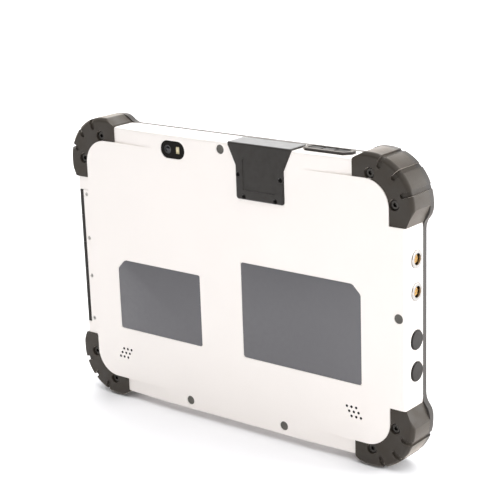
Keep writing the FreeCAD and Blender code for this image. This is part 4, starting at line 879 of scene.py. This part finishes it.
class COLLECTOR_OT_connectors(bpy.types.Operator):
    """Make the two round sockets: plated shell, insulator and gold contacts"""

    bl_idname = "collector.connectors"
    bl_label = "Round Sockets"
    bl_options = {"REGISTER", "UNDO"}

    def execute(self, context):
        sizes = context.scene.collector_sizes
        contact_tree()
        gold = plated_metal("gold_plated_brass", "#e2b765", (0.14, 0.28))
        for name in ("upper", "lower"):
            low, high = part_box(f"connector_{name}_shell")
            centre = face_centre((low, high), SOCKET_SIDE)
            metal = turned_metal(f"turned_nickel_plate_{name}", "#a9a6a2", centre, SOCKET_SIDE)
            rounded(f"connector_{name}_shell", FLANGE_ROUND, metal)
            peek = collared_peek(name, centre)
            rounded(f"connector_{name}_insert", sizes.machined_round, peek)
            node = f"connector_{name}_pins"
            pins = loose_boxes(node)
            values = {"Diameter": sizes.contact_size, "Length": pins[0][1].x - pins[0][0].x,
                      "Facing": SOCKET_SIDE, "Finish": gold}
            mesh = grown(f"contacts_{name}", [face_centre(box, SOCKET_SIDE) for box in pins],
                         bpy.data.node_groups["contacts"], values)
            show(f"{node}_finished", mesh, gold, "housing", [node])
        paint_node("connector_nuts", plated_metal("nickel_plated_nuts", "#cfccc4"))
        return {"FINISHED"}


class COLLECTOR_OT_caps(bpy.types.Operator):
    """Make the two round rubber caps"""

    bl_idname = "collector.caps"
    bl_label = "Round Caps"
    bl_options = {"REGISTER", "UNDO"}

    def execute(self, context):
        sizes = context.scene.collector_sizes
        colour = context.scene.collector_colours.cap
        rubber = moulded_rubber("moulded_epdm_cap", colour, 0.6 * MM, 0.03 * MM, 0.25)
        for name in ("upper", "lower"):
            rounded(f"port_cap_{name}", sizes.moulded_round, rubber)
        return {"FINISHED"}


class COLLECTOR_OT_flaps(bpy.types.Operator):
    """Make the five port flaps and the strip that holds them"""

    bl_idname = "collector.flaps"
    bl_label = "Port Flaps"
    bl_options = {"REGISTER", "UNDO"}

    def execute(self, context):
        sizes = context.scene.collector_sizes
        colour = context.scene.collector_colours.band
        rubber = moulded_rubber("overmoulded_flap_rubber", shade(colour, 0.7), 0.6 * MM, 0.03 * MM)
        for index in range(1, 6):
            rounded(f"port_flap_{index}", sizes.moulded_round, rubber)
        rounded("flap_retainer_strip", sizes.machined_round, sprayed_paint())
        return {"FINISHED"}


class COLLECTOR_OT_front(bpy.types.Operator):
    """Make the front frame, the glass and the display"""

    bl_idname = "collector.front"
    bl_label = "Front"
    bl_options = {"REGISTER", "UNDO"}

    def execute(self, context):
        sizes = context.scene.collector_sizes
        colour = context.scene.collector_colours.band
        rubber = moulded_rubber("soft_touch_frame_rubber", colour, 0.9 * MM, 0.03 * MM)
        rounded("front_frame", sizes.moulded_round, rubber)
        rounded("cover_glass", GLASS_ROUND, display_glass())
        paint_node("display_panel", smoked_acrylic("liquid_crystal_panel", "#0c0e11"))
        return {"FINISHED"}


class COLLECTOR_OT_ports(bpy.types.Operator):
    """Finish the sockets behind the flaps and caps"""

    bl_idname = "collector.ports"
    bl_label = "Ports"
    bl_options = {"REGISTER", "UNDO"}

    def execute(self, context):
        metal = plated_metal("drawn_stainless_steel", "#b4b2ae", (0.22, 0.4))
        for node in ("usb_a_socket", "usb_c_socket", "hdmi_socket", "card_slot", "audio_jack",
                     "power_socket", "antenna_socket"):
            paint_node(node, metal)
        return {"FINISHED"}


class COLLECTOR_OT_inside(bpy.types.Operator):
    """Finish the boards, battery, frame and gasket inside"""

    bl_idname = "collector.inside"
    bl_label = "Inside"
    bl_options = {"REGISTER", "UNDO"}

    def execute(self, context):
        paint_node("main_board", circuit_laminate())
        paint_node("battery_pack", wrapped_foil())
        paint_node("gnss_antenna", fired_ceramic())
        paint_node("board_shields", plated_metal("tinned_steel_shields", "#c3c2bf"))
        paint_node("mid_frame", plated_metal("die_cast_magnesium_alloy", "#9a9997", (0.4, 0.6)))
        foam = moulded_rubber("foamed_silicone_gasket", linear("#2a2a2b"), 0.4 * MM, 0.04 * MM)
        paint_node("housing_gasket", foam)
        return {"FINISHED"}


# ---------------------------------------------------------------- stage

CAMERA_PLACE = Vector((-552.85, 678.0, 370.5)) * MM
CAMERA_AIM = Vector((0.6016, -0.7489, -0.2780))
CAMERA_ROLL = math.radians(-1.95)
CAMERA_LENS, CAMERA_SENSOR = 103.95, 36
CAMERA_CLIP = (0.01, 60)
FLOOR_HALF = 9.0
AIR_STRENGTH = 0.18
SILK_STRENGTH, SILK_ANGLE, SILK_AIM = 2.85, math.radians(70), Vector((0.2, -0.08, -0.97))
# The name, place, aim, side in metres and power in watts of each square softbox.
SOFTBOXES = (("side_softbox", (-1.3, -0.9, 0.35), (0, 0, 0.1), 1.3, 40),
             ("rear_softbox", (1.3, -1.9, 1.6), (0, 0, 0.1), 2.8, 95),
             ("low_fill", (-0.14, 0.46, 0.03), (-0.04, 0, 0.03), 0.2, 0.6))


def soft_light(name, place, aim, size, power):
    """A square softbox that looks at a point."""
    light = bpy.data.lights.new(name, "AREA")
    light.size, light.energy = size, power
    lamp = bpy.data.objects.new(name, light)
    lamp.location = place
    lamp.rotation_mode = "QUATERNION"
    lamp.rotation_quaternion = (Vector(aim) - Vector(place)).to_track_quat("-Z", "Y")
    bpy.context.scene.collection.objects.link(lamp)


class COLLECTOR_OT_stage(bpy.types.Operator):
    """Set up the floor, the lights and the camera"""

    bl_idname = "collector.stage"
    bl_label = "Studio"
    bl_options = {"REGISTER", "UNDO"}

    def execute(self, context):
        scene = context.scene
        scene.view_settings.view_transform = "Standard"
        world = bpy.data.worlds.new("studio_air")
        scene.world = world
        world.use_nodes = True
        world.node_tree.nodes.clear()
        inputs = {"Color": (1, 1, 1, 1), "Strength": AIR_STRENGTH}
        glow = add(world.node_tree, "ShaderNodeBackground", inputs=inputs)
        add(world.node_tree, "ShaderNodeOutputWorld", inputs={"Surface": glow.outputs[0]})

        paper = Finish("matt_white_paper", linear("#f6f6f8"), 0.9)
        paper.polish(paper.speckle(40 * MM), 0.85, 0.95)
        floor_mesh = bpy.data.meshes.new("studio_floor")
        level = CAD_BOX[0][2]
        corners = [(x * FLOOR_HALF, y * FLOOR_HALF, level) for x, y in ((-1, -1), (1, -1), (1, 1), (-1, 1))]
        floor_mesh.from_pydata(corners, [], [(0, 1, 2, 3)])
        floor_mesh.materials.append(paper.material)
        floor = bpy.data.objects.new("studio_floor", floor_mesh)
        scene.collection.objects.link(floor)

        sky = bpy.data.lights.new("overhead_silk", "SUN")
        sky.energy, sky.angle = SILK_STRENGTH, SILK_ANGLE
        silk = bpy.data.objects.new("overhead_silk", sky)
        silk.rotation_mode = "QUATERNION"
        silk.rotation_quaternion = SILK_AIM.to_track_quat("-Z", "Y")
        scene.collection.objects.link(silk)
        for box in SOFTBOXES:
            soft_light(*box)

        camera = bpy.data.cameras.new("collector_camera")
        camera.lens, camera.sensor_width = CAMERA_LENS, CAMERA_SENSOR
        camera.clip_start, camera.clip_end = CAMERA_CLIP
        eye = bpy.data.objects.new("collector_camera", camera)
        eye.location = CAMERA_PLACE
        eye.rotation_mode = "QUATERNION"
        eye.rotation_quaternion = CAMERA_AIM.to_track_quat("-Z", "Y") @ Quaternion((0, 0, 1), CAMERA_ROLL)
        scene.collection.objects.link(eye)
        scene.camera = eye
        return {"FINISHED"}


PIECE_MAKERS = (
    COLLECTOR_OT_stage, COLLECTOR_OT_housing, COLLECTOR_OT_bumpers, COLLECTOR_OT_screws, COLLECTOR_OT_labels,
    COLLECTOR_OT_plugs, COLLECTOR_OT_scanner, COLLECTOR_OT_camera, COLLECTOR_OT_speakers, COLLECTOR_OT_keys,
    COLLECTOR_OT_connectors, COLLECTOR_OT_caps, COLLECTOR_OT_flaps, COLLECTOR_OT_front, COLLECTOR_OT_ports,
    COLLECTOR_OT_inside)


class COLLECTOR_PT_sidebar(bpy.types.Panel):
    """The collector's pieces, sizes and colours"""

    bl_idname = "COLLECTOR_PT_sidebar"
    bl_label = "Rugged Data Collector"
    bl_space_type = "VIEW_3D"
    bl_region_type = "UI"
    bl_category = "Collector"

    def draw(self, context):
        for maker in PIECE_MAKERS:
            self.layout.operator(maker.bl_idname)
        for group in (context.scene.collector_sizes, context.scene.collector_colours):
            for name in group.bl_rna.properties.keys():
                if name not in ("rna_type", "name"):
                    self.layout.prop(group, name)


CLASSES = (CollectorSizes, CollectorColours, *PIECE_MAKERS, COLLECTOR_PT_sidebar)


def register():
    for item in CLASSES:
        bpy.utils.register_class(item)
    bpy.types.Scene.collector_sizes = bpy.props.PointerProperty(type=CollectorSizes)
    bpy.types.Scene.collector_colours = bpy.props.PointerProperty(type=CollectorColours)


def unregister():
    del bpy.types.Scene.collector_colours
    del bpy.types.Scene.collector_sizes
    for item in reversed(CLASSES):
        bpy.utils.unregister_class(item)


def main():
    register()
    for maker in PIECE_MAKERS:
        group, name = maker.bl_idname.split(".")
        getattr(getattr(bpy.ops, group), name)()


if __name__ == "__main__":
    main()
